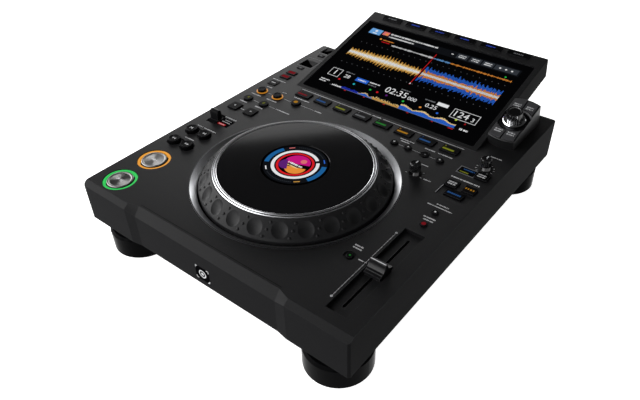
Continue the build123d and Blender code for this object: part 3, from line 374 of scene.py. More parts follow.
def build_case_finishes():
    """Finishes of the case, feet, boards and sockets."""
    panel = whole(bpy.context.scene.player_colours.panel)
    finish("deck_plastic", panel, 0.5, wear_and_highlight=(60, 60, 62), dust=0.08, sharpness=0.07)
    finish("wall_plastic", panel, 0.55, wear_and_highlight=(44, 44, 46), dust=0.05, sharpness=0.01)
    finish("screen_slab_plastic", panel, 0.45, wear_and_highlight=(64, 64, 66), dust=0.08, sharpness=0.05)
    finish("case_steel", (30, 30, 32), 0.45, metallic=0.6, wear_and_highlight=(110, 110, 112))
    finish("screw_steel", (70, 70, 72), 0.3, metallic=1.0, wear_and_highlight=(150, 150, 150))
    finish("foot_plastic", (9, 9, 10), 0.16, depth=0.02, wear_and_highlight=(30, 30, 32), sharpness=0.01)
    finish("foot_rubber", (16, 16, 16), 0.8, grain=1800.0, depth=0.3)
    finish("display_black", (2, 2, 2), 0.3, depth=0.0, sharpness=0.0)
    finish("board_green", (18, 60, 36), 0.4, blotch=0.3)
    finish("socket_plastic", (14, 14, 15), 0.4, wear_and_highlight=(60, 60, 60), sharpness=0.1)
    clear_glass("screen_cover_glass")


def build_key_finishes():
    """Finishes of the keys, knobs, slider and lever, and of the rings that light round keys."""
    # The light edges of the keys are a painted edge highlight as well as wear.
    finish("key_plastic", (9, 9, 10), 0.36, wear_and_highlight=(88, 88, 92), sharpness=0.01)
    finish("key_gloss", (8, 8, 9), 0.2, wear_and_highlight=(70, 70, 74), sharpness=0.03)
    finish("pod_plastic", (22, 22, 23), 0.4, wear_and_highlight=(70, 70, 72), sharpness=0.3)
    finish("pod_key_plastic", (58, 58, 60), 0.3, wear_and_highlight=(90, 90, 92))
    finish("dish_metal", (44, 44, 46), 0.26, metallic=1.0, anisotropy=0.8)
    finish("collar_chrome", (225, 226, 228), 0.12, metallic=1.0, wear_and_highlight=(240, 240, 240))
    finish("knob_gloss", (10, 10, 11), 0.1, wear_and_highlight=(90, 90, 92), sharpness=0.7)
    for node in START_KEYS:
        finish(f"{node}_metal", (128, 127, 126), 0.36, metallic=1.0, turned=axis_foot(node), anisotropy=0.9)
    finish("fader_steel", (60, 60, 62), 0.3, metallic=0.9, wear_and_highlight=(130, 130, 132))
    finish("slider_plastic", (18, 18, 19), 0.3, wear_and_highlight=(90, 90, 92), sharpness=0.25)
    finish("lever_plastic", (14, 14, 15), 0.32, wear_and_highlight=(80, 80, 82), sharpness=0.02)
    settings = bpy.context.scene.player_colours
    finish("ring_green", (12, 60, 26), 0.4, glow=whole(settings.play_ring), sharpness=0.1)
    finish("ring_orange", (70, 42, 12), 0.4, glow=whole(settings.cue_ring), sharpness=0.1)
    finish("ring_amber", (70, 42, 12), 0.4, glow=(226, 148, 40), strength=0.7, sharpness=0.1)


def build_jog_finishes():
    """Finishes of the jog wheel, its bezel and its bearing."""
    axis = axis_foot("jog_display")
    fine_turning = {"turned": axis, "depth": 0.01}
    finish("jog_grip_rubber", (34, 34, 35), 0.42, grain=3200.0, depth=0.08, wear_and_highlight=(70, 70, 72), dust=0.15,
           sharpness=0.1)
    finish("bezel_aluminium", (200, 201, 204), 0.3, metallic=1.0, tone=0.1, **fine_turning)
    finish("rim_metal", (46, 46, 48), 0.35, metallic=0.8, sharpness=0.1)
    finish("trim_chrome", (214, 215, 218), 0.3, metallic=1.0, tone=0.1, **fine_turning)
    finish("plate_gloss", (19, 19, 20), 0.08, sharpness=0.06, **fine_turning)
    finish("bearing_steel", (130, 130, 134), 0.3, metallic=1.0, turned=axis, depth=0.2)


def build_mark_finishes():
    """Inks, lit marks and the colours of the two pictures."""
    for name, colour in INKS.items():
        finish(name, colour, 0.55, grain=6000.0, tone=0.12, depth=0.02, sharpness=0.0)
    for name, (colour, strength) in LIT_MARKS.items():
        unlit = tuple(value // 4 for value in colour)
        finish(name, unlit, 0.4, tone=0.1, glow=colour, strength=strength, sharpness=0.0)
    for name, colour in PICTURE_COLOURS.items():
        finish(f"picture_{name}", (2, 2, 2), 0.4, glow=colour, sharpness=0.0)


def build_materials():
    """The shared effects, then every finish of the player."""
    build_grain_group()
    build_wear_group()
    build_turned_group()
    build_dust_group()
    build_case_finishes()
    build_key_finishes()
    build_jog_finishes()
    build_mark_finishes()


# ---- finishes of the CAD nodes
NODE_FINISHES = {
    "bottom_case": "case_steel",
    "case_screws": "screw_steel",
    "screen_glass": "screen_cover_glass",
    "lcd_panel": "display_black",
    "jog_display": "display_black",
    "jog_bearing": "bearing_steel",
    "tempo_fader": "fader_steel",
    "circuit_boards": "board_green",
    "power_supply": "board_green",
    "sockets": "socket_plastic",
    "jog_ring": "jog_grip_rubber",
    "jog_plate": "plate_gloss",
    "direction_lever": "lever_plastic",
    "tempo_slider": "slider_plastic",
    "vinyl_speed_knob": "knob_gloss",
    "jog_adjust_knob": "knob_gloss",
    "pod_keys": "pod_key_plastic",
    "screen_keys": "key_gloss",
}
# Millimetres: top of the rubber soles, ends of the play and cue rings from the front edge,
# reach of the selector's dish and of the knob inside its collar, and depth of a start key's metal.
SOLE_TOP = 3.5
PLAY_RING_END, CUE_RING_END = 47.0, 120.0
DISH_REACH, KNOB_REACH = 18.1, 9.2
METAL_DEPTH = 1.2
# Wells of the stick ports, whose walls are painted near black as painted shade: their sides and ends, and
# the height where they start.
PORT_LEFT, PORT_RIGHT = 3.0, 31.0
PORT_FRONT, PORT_BACK = 318.0, 392.0
PORT_TOP = -0.8


def on_sole(middle, normal):
    """Rubber sole of a foot."""
    return int(middle.z < SOLE_TOP * MM)


def ring_of(middle, normal):
    """Ring of the play key, of the cue key, or of a loop key."""
    y = (middle.y - panel_low.y) / MM
    return 0 if y < PLAY_RING_END else 1 if y < CUE_RING_END else 2


def dial_reach(middle):
    """Distance from the selector's axis in millimetres."""
    place = SCREEN.inverted() @ middle
    return math.hypot(place.x - dial.x, place.y - dial.y)


def in_dish(middle, normal):
    """Metal dish round the selector knob."""
    return int(dial_reach(middle) < DISH_REACH and normal.z > 0.5)


def on_collar(middle, normal):
    """Bright collar of the selector knob."""
    return int(dial_reach(middle) > KNOB_REACH)


def on_wall(middle, normal):
    """Face that stands upright or looks down."""
    return int(normal.z < 0.4)


def on_flat(middle, normal):
    """Face that looks straight up."""
    return int(normal.z > 0.97)


def panel_part(middle, normal):
    """Deck, outer wall, or well of a stick port, whose walls get painted shade."""
    x, y, rise = DECK.inverted() @ middle
    # Walls of the port wells take the near-black display finish as painted shade.
    shaded_port_well = PORT_LEFT < x < PORT_RIGHT and PORT_FRONT < y < PORT_BACK and rise < PORT_TOP
    return 2 if shaded_port_well else on_wall(middle, normal)


FACE_FINISHES = {
    "top_panel": (["deck_plastic", "wall_plastic", "display_black"], panel_part),
    "screen_housing": (["screen_slab_plastic", "wall_plastic"], on_wall),
    "feet": (["foot_plastic", "foot_rubber"], on_sole),
    "jog_bezel": (["bezel_aluminium", "rim_metal"], on_flat),
    "jog_trim_ring": (["trim_chrome", "rim_metal"], on_flat),
    "light_rings": (["ring_green", "ring_orange", "ring_amber"], ring_of),
    "selector_pod": (["pod_plastic", "dish_metal"], in_dish),
    "selector_knob": (["knob_gloss", "collar_chrome"], on_collar),
}


def dress(node, names, chooser=None):
    """Give a CAD node its finishes; chooser picks one for a face by its middle and normal."""
    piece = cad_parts[node]
    piece.data.materials.clear()
    for name in names:
        piece.data.materials.append(materials[name])
    for face in piece.data.polygons:
        face.material_index = chooser(face.center, face.normal) if chooser else 0


def dress_start_key(node):
    """Key with a turned metal face on its cap."""
    cap_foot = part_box(node)[1].z - METAL_DEPTH * MM
    dress(node, ["key_plastic", f"{node}_metal"],
          lambda middle, normal: int(middle.z > cap_foot and normal.z > 0.5))


def dress_nodes():
    """Every CAD node gets its finish; those not listed are plain keys."""
    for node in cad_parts:
        if node in START_KEYS:
            dress_start_key(node)
        elif node in FACE_FINISHES:
            dress(node, *FACE_FINISHES[node])
        else:
            dress(node, [NODE_FINISHES.get(node, "key_plastic")])


def link_object(name, data):
    """New object in the scene, at the origin."""
    piece = bpy.data.objects.new(name, data)
    bpy.context.scene.collection.objects.link(piece)
    return piece


def new_mesh(name, points, faces):
    """Mesh object at the origin."""
    mesh = bpy.data.meshes.new(name)
    mesh.from_pydata(points, [], faces)
    mesh.update()
    return link_object(name, mesh)


# ---- thin marks
# Print stands this far over its surface and reaches this far into it, in millimetres.
PRINT_TOP = 0.06
PRINT_FOOT = -0.12
# Height of a figure as a share of its font size.
FIGURE_SHARE = 0.7


def arc(x, y, radius, start=0.0, sweep=360.0, sides=32):
    """Points along an arc, in degrees; a full circle leaves its last point out."""
    steps = max(3, round(sides * abs(sweep) / 360))
    ends = steps if sweep >= 360 else steps + 1
    turns = [math.radians(start + sweep * step / steps) for step in range(ends)]
    return [(x + radius * math.cos(turn), y + radius * math.sin(turn)) for turn in turns]


class Marks:
    """Thin closed shapes on one plane, gathered into one piece with a finish for each colour.

    Places and sizes are millimetres on the plane. lift raises a mark over what it covers. family
    is put before the name of every colour.
    """

    def __init__(self, plane, family="", foot=PRINT_FOOT, top=PRINT_TOP):
        self.plane = plane
        self.family = family
        self.foot = foot
        self.top = top
        self.points = []
        self.faces = []
        self.face_inks = []
        self.inks = []

    def add(self, points, faces, ink):
        """Add closed faces over points given as x, y and height."""
        ink = self.family + ink
        if ink not in self.inks:
            self.inks.append(ink)
        first = len(self.points)
        self.points += [self.plane @ Vector(point) for point in points]
        self.faces += [tuple(first + corner for corner in face) for face in faces]
        self.face_inks += [self.inks.index(ink)] * len(faces)

    def shape(self, outline, ink, lift=0.0):
        """Prism over an outline that runs anticlockwise."""
        count = len(outline)
        points = [(x, y, z) for z in (self.foot, self.top + lift) for x, y in outline]
        faces = [tuple(range(count))[::-1], tuple(range(count, 2 * count))]
        for first in range(count):
            second = (first + 1) % count
            faces.append((first, second, second + count, first + count))
        self.add(points, faces, ink)

    def bar(self, x, y, width, length, ink, lift=0.0, turn=0.0):
        """Bar round its middle, turned by degrees."""
        c, s = math.cos(math.radians(turn)), math.sin(math.radians(turn))
        corners = [(-1, -1), (1, -1), (1, 1), (-1, 1)]
        sides = [(a * width / 2, b * length / 2) for a, b in corners]
        self.shape([(x + c * a - s * b, y + s * a + c * b) for a, b in sides], ink, lift)

    def line(self, x, y, end_x, end_y, thickness, ink, lift=0.0):
        """Straight line between two points."""
        run, rise = end_x - x, end_y - y
        turn = math.degrees(math.atan2(rise, run))
        self.bar((x + end_x) / 2, (y + end_y) / 2, math.hypot(run, rise), thickness, ink, lift, turn)

    def frame(self, x, y, width, length, thickness, ink):
        """Outline of a rectangle round its middle."""
        for side in (-1, 1):
            self.bar(x, y + side * (length - thickness) / 2, width, thickness, ink)
            self.bar(x + side * (width - thickness) / 2, y, thickness, length - 2 * thickness, ink)

    def disc(self, x, y, radius, ink, lift=0.0, sides=20):
        """Round field."""
        self.shape(arc(x, y, radius, sides=sides), ink, lift)

    def arrow(self, x, y, radius, turn, ink, lift=0.0):
        """Triangle that points along turn degrees."""
        self.shape(arc(x, y, radius, turn, sides=3), ink, lift)

    def ring(self, x, y, inner, outer, ink, start=0.0, sweep=360.0, lift=0.0, sides=72):
        """Ring, or part of one from start through sweep degrees."""
        inside = arc(x, y, inner, start, sweep, sides)
        outside = arc(x, y, outer, start, sweep, sides)
        if sweep < 360:
            self.shape(outside + inside[::-1], ink, lift)
            return
        count = len(inside)
        heights = (self.foot, self.top + lift)
        points = [(px, py, z) for z in heights for loop in (inside, outside) for px, py in loop]
        faces = []
        for first in range(count):
            second = (first + 1) % count
            corners = [(first + count * level, second + count * level) for level in range(4)]
            (a, b), (c, d), (e, f), (g, h) = corners
            faces += [(a, b, d, c), (e, g, h, f), (a, e, f, b), (c, d, h, g)]
        self.add(points, faces, ink)

    def caption(self, x, y, end_x, height, ink, seed, lift=0.0):
        """Row of small blocks that stands for a word too small to read."""
        draw = random.Random(seed)
        while x < end_x - 0.4:
            width = min(height * draw.uniform(0.35, 0.75), end_x - x)
            tall = height * draw.choice((0.8, 0.8, 1.0))
            self.bar(x + width / 2, y, width, tall, ink, lift)
            x += width + height * draw.choice((0.18, 0.18, 0.18, 0.5))

    def number(self, text, x, y, height, ink):
        """Plain figures round their middle."""
        curve = bpy.data.curves.new("figures", "FONT")
        curve.body = text
        curve.align_x, curve.align_y = "CENTER", "CENTER"
        curve.extrude = 0.5
        curve.resolution_u = 3
        figures = link_object("figures", curve)
        mesh = bpy.data.meshes.new_from_object(figures)
        shape = bmesh.new()
        shape.from_mesh(mesh)
        bmesh.ops.remove_doubles(shape, verts=shape.verts, dist=1e-5)
        shape.verts.index_update()
        size = height / FIGURE_SHARE
        middle, span = (self.top + self.foot) / 2, self.top - self.foot
        points = [(x + v.co.x * size, y + v.co.y * size, middle + v.co.z * span) for v in shape.verts]
        self.add(points, [tuple(v.index for v in face.verts) for face in shape.faces], ink)
        shape.free()
        bpy.data.objects.remove(figures)
        bpy.data.meshes.remove(mesh)
        bpy.data.curves.remove(curve)

    def piece(self, name, body, slot):
        """Make the piece and let it ride on a body."""
        made = new_mesh(name, self.points, self.faces)
        for ink in self.inks:
            made.data.materials.append(materials[ink])
        made.data.polygons.foreach_set("material_index", self.face_inks)
        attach(made, body)


# ---- marks on the panel
# Captions: x, y, end x, height.
DECK_CAPTIONS = [
    (21.0, 117.0, 35.0, 1.5), (14.0, 142.0, 22.0, 1.5), (24.0, 142.0, 42.0, 1.5),
    (27.4, 197.0, 33.4, 1.3), (12.5, 211.0, 23.5, 2.0), (37.0, 211.0, 48.5, 2.0),
    (61.0, 220.0, 81.0, 1.6), (12.0, 231.8, 27.0, 2.0), (36.0, 231.8, 52.0, 2.0),
    (16.0, 255.0, 24.0, 1.3), (41.0, 255.0, 47.0, 1.3), (60.0, 254.5, 83.0, 1.6),
    (100.0, 243.5, 109.5, 1.6), (8.0, 275.0, 28.0, 1.3), (159.0, 275.0, 171.0, 1.6),
    (210.0, 254.0, 227.0, 1.5), (213.0, 250.4, 223.0, 1.5), (241.0, 253.0, 253.0, 1.5),
    (257.0, 253.0, 273.0, 1.5), (252.0, 226.0, 261.0, 1.4), (268.0, 205.5, 276.0, 1.4),
    (303.0, 280.0, 315.0, 1.5), (287.0, 226.5, 318.0, 1.9), (298.0, 179.5, 310.5, 1.6),
    (290.5, 175.5, 316.0, 1.3), (297.0, 157.5, 310.0, 1.6), (299.0, 153.8, 309.0, 1.6),
    (270.0, 88.7, 279.5, 1.6), (270.0, 85.4, 279.5, 1.6),
]
# Lines: x, y, end x, end y, thickness.
DECK_LINES = [
    (55.0, 275.0, 156.5, 275.0, 0.55), (173.5, 275.0, 275.0, 275.0, 0.55),
    (26.5, 219.5, 35.0, 219.5, 0.25), (50.0, 219.8, 59.5, 219.8, 0.25),
    (29.0, 243.0, 33.5, 243.0, 0.25), (53.5, 243.2, 64.0, 243.2, 0.25),
    (78.5, 243.5, 98.5, 243.5, 0.25), (215.0, 242.5, 221.0, 242.5, 0.3),
    (232.0, 242.2, 242.0, 242.2, 0.25), (253.0, 241.8, 259.5, 241.8, 0.25),
    (283.0, 75.2, 288.0, 75.2, 0.9), (287.6, 194.5, 287.8, 209.5, 0.3),
]
# Painted shade line along the top edge of the middle bevel, in front of the jog wheel: its place from the
# front edge, and its ends.
FRONT_SHADE_LINE, FRONT_SHADE_START, FRONT_SHADE_END = 11.6, 76.5, 252.5
# Frames round the stick ports: x, y, width, length.
PORT_FRAMES = [(18.2, 335.0, 22.0, 26.0), (15.6, 378.5, 16.5, 24.0)]
# Scale beside the tempo slider; every tenth tick is long.
TEMPO_X, TEMPO_START, TEMPO_STEP, TEMPO_STEPS = 290.2, 28.5, 4.7, 20
# Ticks round the knobs: x, y, degrees of the first and the last, gaps between them.
KNOB_TICKS = [(256.1, 208.5, -20, 200, 4), (308.1, 256.7, -50, 230, 10)]
TICK_START, TICK_END = 8.0, 9.8


def print_tempo_scale(marks):
    """Line with ticks and a small ring at each end."""
    end = TEMPO_START + TEMPO_STEPS * TEMPO_STEP
    marks.line(TEMPO_X, TEMPO_START, TEMPO_X, end, 0.22, "print_white")
    for step in range(TEMPO_STEPS + 1):
        width = 2.4 if step % 10 == 0 else 0.9
        marks.bar(TEMPO_X, TEMPO_START + step * TEMPO_STEP, width, 0.4, "print_white")
    for y in (TEMPO_START, end):
        marks.ring(TEMPO_X, y, 0.7, 1.1, "print_white", sides=16)


def print_knob_ticks(marks):
    """Ticks round the two knobs."""
    for x, y, first, last, gaps in KNOB_TICKS:
        for step in range(gaps + 1):
            turn = math.radians(first + (last - first) * step / gaps)
            c, s = math.cos(turn), math.sin(turn)
            marks.line(x + TICK_START * c, y + TICK_START * s, x + TICK_END * c, y + TICK_END * s, 0.4,
                       "print_white")


def print_lever_label(marks):
    """Black field beside the direction lever, with a red block under one of its words."""
    marks.bar(35.25, 163.5, 17.5, 14.0, "print_black")
    marks.bar(34.0, 159.2, 11.0, 3.2, "print_red", 0.04)
    marks.caption(29.5, 159.2, 39.0, 1.2, "print_white", 41, 0.08)
    marks.caption(30.0, 164.4, 42.0, 1.3, "print_white", 42, 0.04)
    marks.caption(31.0, 168.0, 41.0, 1.2, "print_white", 43, 0.04)
    marks.caption(26.0, 173.4, 43.0, 1.5, "print_white", 44)


def print_mode_window(marks):
    """Window of the jog mode lamps."""
    marks.bar(296.3, 241.75, 19.4, 12.5, "print_grey")
    marks.bar(296.3, 241.75, 17.4, 10.5, "print_black", 0.03)
    marks.caption(289.5, 239.0, 299.0, 2.0, "lamp_lime", 45, 0.07)
    marks.caption(291.5, 244.0, 303.5, 2.0, "lamp_blue", 46, 0.07)


def print_deck(name):
    """Print on the deck, with a painted shade line along the bevel in front of the jog wheel."""
    marks = Marks(DECK)
    for seed, (x, y, end_x, height) in enumerate(DECK_CAPTIONS):
        marks.caption(x, y, end_x, height, "print_white", seed)
    for x, y, end_x, end_y, thickness in DECK_LINES:
        marks.line(x, y, end_x, end_y, thickness, "print_white")
    print_tempo_scale(marks)
    # Painted shade along the top edge of the middle bevel, drawn in black ink.
    marks.line(FRONT_SHADE_START, FRONT_SHADE_LINE, FRONT_SHADE_END, FRONT_SHADE_LINE, 0.4, "print_black")
    for x, y, width, length in PORT_FRAMES:
        marks.frame(x, y, width, length, 0.35, "print_grey")
    print_knob_ticks(marks)
    print_lever_label(marks)
    print_mode_window(marks)
    marks.piece(name, ROOT, "panel_plastic")


# Badge: its middle's height on the front wall, and how far that wall's face is set back.
BADGE_HEIGHT = 20.0
FRONT_SETBACK = 2.0


def front_badge(name):
    """Plain badge on the front wall: a dark field with a circle between four corner brackets."""
    wall_foot = Vector((0.0, panel_low.y + FRONT_SETBACK * MM))
    upright = Matrix.Rotation(math.radians(90), 4, "X")
    middle = Matrix.Translation((0, BADGE_HEIGHT, 0))
    marks = Marks(level_plane(wall_foot, panel_low.z) @ upright @ middle)
    marks.bar(0, 0, 17.6, 16.0, "print_black")
    marks.ring(0, 0, 3.4, 4.5, "print_white", sides=32, lift=0.04)
    marks.disc(0, 0, 1.7, "print_white", 0.04)
    for across in (-1, 1):
        for along in (-1, 1):
            marks.bar(across * 7.2, along * 7.4, 2.8, 0.8, "print_white", 0.04)
            marks.bar(across * 8.2, along * 6.4, 0.8, 2.8, "print_white", 0.04)
    marks.piece(name, ROOT, "panel_plastic")


# ---- marks on the keys
HOT_CUE_INKS = ("red", "blue", "lime", "white", "green", "amber", "blue", "lime")


def mark_hot_cues():
    """Coloured strip and number on each hot cue key."""
    for number, colour in enumerate(HOT_CUE_INKS, 1):
        node = f"hot_cue_{number}"
        marks = Marks(top_of(node))
        ink = f"lamp_{colour}"
        marks.bar(-1.4, -1.6, 13.0, 2.6, ink)
        marks.number(str(number), -6.8, 3.0, 2.6, ink)
        marks.piece(f"{node}_mark", node, "cue_" + colour)


# Symbols on a key's top, round its middle: kind, then what that kind of mark asks for.
KEY_SYMBOLS = {
    "beat_jump_back": [("arrow", -0.2, 0.0, 1.6, 180, "print_white")],
    "beat_jump_forward": [("arrow", 0.2, 0.0, 1.6, 0, "print_white")],
    "search_back": [("arrow", x, 0.0, 1.5, 180, "print_white") for x in (-1.6, 1.2)],
    "search_forward": [("arrow", x, 0.0, 1.5, 0, "print_white") for x in (-1.2, 1.6)],
    "track_back": [("arrow", 0.6, 0.0, 1.7, 180, "print_white"),
                   ("bar", -2.0, 0.0, 0.7, 2.8, "print_white")],
    "track_forward": [("arrow", -0.6, 0.0, 1.7, 0, "print_white"),
                      ("bar", 2.0, 0.0, 0.7, 2.8, "print_white")],
    "loop_four": [("number", "4", 0.0, 0.0, 4.0, "lamp_lime")],
    "loop_eight": [("number", "8", 0.0, 0.0, 4.0, "lamp_lime")],
    "loop_exit": [("disc", 0.0, 0.0, 2.6, "lamp_amber")],
    "call_back": [("arrow", -0.2, 0.0, 1.5, 180, "print_white")],
    "call_forward": [("arrow", 0.2, 0.0, 1.5, 0, "print_white")],
    "memory_button": [("disc", 0.0, 0.0, 1.0, "print_white")],
    "delete_button": [("disc", 0.0, 0.0, 0.9, "print_grey")],
    "tempo_reset_button": [("disc", 0.0, 0.0, 0.9, "lamp_green")],
    "tempo_range_button": [("disc", 0.0, 0.0, 1.0, "print_white")],
    "master_tempo_button": [("disc", 0.0, 0.0, 2.2, "lamp_red")],
    "jog_mode_button": [("caption", -4.5, y, 4.5, 1.8, "print_white") for y in (1.6, -1.6)],
    "sync_button": [("caption", -4.2, y, 4.2, 2.0, "print_white") for y in (1.6, -1.6)],
    "master_button": [("caption", -4.6, 0.2, 4.6, 2.6, "lamp_amber")],
    "key_sync_button": [("caption", -7.0, 0.2, 7.0, 2.6, "lamp_blue")],
    "play_button": [("arrow", -2.8, 0.0, 2.0, 0, "print_white")]
    + [("bar", x, 0.0, 0.9, 3.4, "print_white") for x in (1.2, 3.2)],
    "cue_button": [("disc", 0.0, 0.0, 1.7, "print_white")]
    + [("bar", x, 0.0, 2.2, 0.8, "print_white") for x in (-3.4, 3.4)],
}
# Height of the middle of a dished top against its rim.
DISHES = {"play_button": -0.7, "cue_button": -0.7, "search_back": -0.5, "search_forward": -0.5,
          "track_back": -0.5, "track_forward": -0.5}


def mark_single_keys():
    """Symbols on the tops of the other keys that move alone."""
    for seed, (node, symbols) in enumerate(KEY_SYMBOLS.items()):
        marks = Marks(above(top_of(node), DISHES.get(node, 0.0)))
        for kind, *values in symbols:
            if kind == "caption":
                values.append(seed)
            getattr(marks, kind)(*values)
        marks.piece(f"{node}_mark", node, "start_key_metal" if node in START_KEYS else "key_matte")


# Small keys of the left column: x, y, rise, width, length, ink.
COLUMN_MARKS = [
    (16.5, 266.0, 0.9, 6.0, 1.4, "print_white"),
    (18.0, 286.4, 1.2, 10.0, 5.0, "lamp_red"),
    (18.0, 299.0, 1.2, 10.0, 5.0, "lamp_red"),
    (17.5, 316.4, 0.9, 3.6, 1.2, "print_grey"),
    (17.5, 359.0, 0.9, 3.6, 1.2, "print_grey"),
]


def mark_column_keys(name):
    """Lit fields on the slip and quantize keys, small marks on the others."""
    marks = Marks(DECK)
    for x, y, rise, width, length, ink in COLUMN_MARKS:
        marks.foot, marks.top = rise + PRINT_FOOT, rise + PRINT_TOP
        marks.bar(x, y, width, length, ink)
    marks.piece(name, "column_keys", "cue_red")


# Keys above the screen: how many, their pitch, place up the slope, rise, half of a legend's width.
SCREEN_KEYS, SCREEN_KEY_PITCH = 6, 35.5
SCREEN_KEY_ROW, SCREEN_KEY_RISE = 165.5, 0.9
SCREEN_LEGEND = 6.0


def mark_screen_keys(name):
    """Legends of the keys above the screen, lit on all but the outer two."""
    marks = Marks(above(SCREEN, SCREEN_KEY_RISE))
    for number in range(SCREEN_KEYS):
        x = (number - (SCREEN_KEYS - 1) / 2) * SCREEN_KEY_PITCH
        ink = "print_grey" if number in (0, SCREEN_KEYS - 1) else "lamp_deep_blue"
        marks.caption(x - SCREEN_LEGEND, SCREEN_KEY_ROW, x + SCREEN_LEGEND, 2.2, ink, 60 + number)
    marks.piece(name, "screen_keys", "key_gloss")


# Rows of the pod keys: place up the slope, and the seed of their legends.
POD_KEY_ROWS = [(33.5, 124), (77.5, 168)]
POD_KEY_RISE, POD_KEY_REACH = 7.0, 7.0


def mark_pod_keys(name):
    """Two short lines of print on each of the four pod keys."""
    pod_x = axis_foot("pod_keys").x / MM
    marks = Marks(above(SCREEN, POD_KEY_RISE))
    for side in (-1, 1):
        x = pod_x + side * POD_KEY_REACH
        for up, seed in POD_KEY_ROWS:
            for row in (-1, 1):
                marks.caption(x - 4.0, up + row * 1.5, x + 4.0, 1.6, "print_white", seed + row + side)
    marks.piece(name, "pod_keys", "key_gloss")


# ---- picture on the screen
# Places on the picture are millimetres from PICTURE_LEFT and up the screen's slope.
PICTURE_LEFT = -166.5
PICTURE_FOOT, PICTURE_TOP = -0.02, 0.03
# The backing stays this far inside the glass.
BACKING_MARGIN = 0.3
WAVE_ROW, STATUS_ROW, PLAY_LINE = 87.5, 136.0, 167.0
OVERVIEW_ROW = 22.0
CUE_DOTS = [(85, "red"), (107, "cyan"), (131, "green"), (141, "red"), (154, "purple"), (177, "green"),
            (200, "orange"), (222, "blue"), (246, "lime")]


def draw_backing(marks):
    """Black field that fills the glass."""
    slope = (glass_high.y - glass_low.y) / MM / math.cos(SCREEN_TILT)
    length = slope - GLASS_THICKNESS * math.tan(SCREEN_TILT)
    width = (glass_high.x - glass_low.x) / MM
    middle = axis_foot("screen_glass").x / MM
    marks.bar(middle - PICTURE_LEFT, GLASS_START + length / 2, width - 2 * BACKING_MARGIN,
              length - 2 * BACKING_MARGIN, "black", -0.02)


def stations(start, end, step):
    """Places from start up to end, one step apart."""
    x = start
    while x < end:
        yield x
        x += step


def wave_bar(marks, x, width, high, layers):
    """Upright bar of the wave: colours over each other, each a share of the whole height."""
    for layer, (colour, share) in enumerate(layers):
        marks.bar(x, WAVE_ROW, width, high * share, colour, 0.02 * layer)


def fade_in_beat(x, start, beat_length, rate):
    """Loudness that starts at 1 on each beat and fades."""
    return math.exp(-rate * ((x - start) % beat_length) / beat_length)


def draw_wave(marks):
    """Large wave: gold before the play line, blue behind it, both mirrored about the middle."""
    draw = random.Random(5)
    start, end = 63.0, 167.0
    for x in stations(start, end, 0.78):
        loud = 0.46 + 0.54 * fade_in_beat(x, start, 4.6, 2.4)
        swell = 0.62 + 0.38 * math.sin((x - start) / (end - start) * math.pi)
        high = 28.0 * loud * swell * draw.uniform(0.75, 1.0)
        wave_bar(marks, x, 0.62, high, [("gold", 1.0), ("cream", 0.62), ("white", 0.3)])
    start, end = 170.0, 269.5
    for x in stations(start, end, 1.3):
        high = 33.0 * (0.62 + 0.38 * fade_in_beat(x, start, 4.9, 2.0)) * draw.uniform(0.8, 1.0)
        wave_bar(marks, x, 0.85, high, [("blue", 1.0), ("orange", draw.uniform(0.3, 0.55)), ("white", 0.16)])


def draw_beats(marks):
    """Play line with its pointer, and the rows of beat dots over and under the wave."""
    marks.line(PLAY_LINE, 64.0, PLAY_LINE, 127.0, 0.7, "red", 0.06)
    for row in (66.0, 110.0):
        for step in range(26):
            marks.disc(66.0 + step * 8.0, row, 0.45, "grey", sides=8)
    marks.arrow(PLAY_LINE, 66.0, 1.4, 90, "white", 0.08)


def draw_status(marks):
    """Top rows: icon, cover field, greeked title, buttons and the thin line of the whole track."""
    marks.bar(166.25, 135.75, 211.5, 12.5, "dark")
    marks.bar(71.0, STATUS_ROW, 17.0, 11.0, "sky", 0.02)
    marks.disc(71.0, 137.6, 2.0, "white", 0.04, 12)
    marks.bar(71.0, 132.8, 6.0, 1.6, "white", 0.04)
    marks.bar(86.0, 137.5, 9.0, 7.0, "pink", 0.02)
    marks.disc(87.6, 136.6, 2.2, "orange", 0.04, 12)
    marks.caption(93.0, 139.0, 162.0, 2.9, "white", 3, 0.04)
    marks.caption(93.0, 133.4, 130.0, 2.4, "white", 4, 0.04)
    for number, x in enumerate((197.5, 215.0, 231.5)):
        marks.bar(x, STATUS_ROW, 14.5, 9.0, "slate", 0.02)
        marks.caption(x - 4.5, 137.6, x + 4.5, 1.8, "white", 7 + number, 0.04)
        marks.caption(x - 4.5, 134.4, x + 4.5, 1.8, "white", 17 + number, 0.04)
    marks.bar(184.0, STATUS_ROW, 3.0, 1.2, "white", 0.04)
    marks.bar(255.0, STATUS_ROW, 29.0, 9.0, "slate", 0.02)
    for x in (247.0, 254.5, 262.0):
        marks.disc(x, STATUS_ROW, 1.3, "white", 0.04, 12)
    marks.disc(86.0, 125.0, 1.5, "orange", 0.02, 12)
    marks.caption(90.0, 124.6, 106.0, 1.9, "orange", 8, 0.02)
    marks.caption(90.0, 120.8, 102.0, 1.6, "red", 9, 0.02)
    draw = random.Random(11)
    for x in stations(107.0, 270.0, 1.5):
        ink = "white" if x < 168.0 else "sky" if x < 190.0 else "orange"
        marks.bar(x, 119.0, 0.9, draw.uniform(1.0, 3.4), ink)
    marks.disc(260.0, 123.6, 1.3, "green", 0.02, 12)


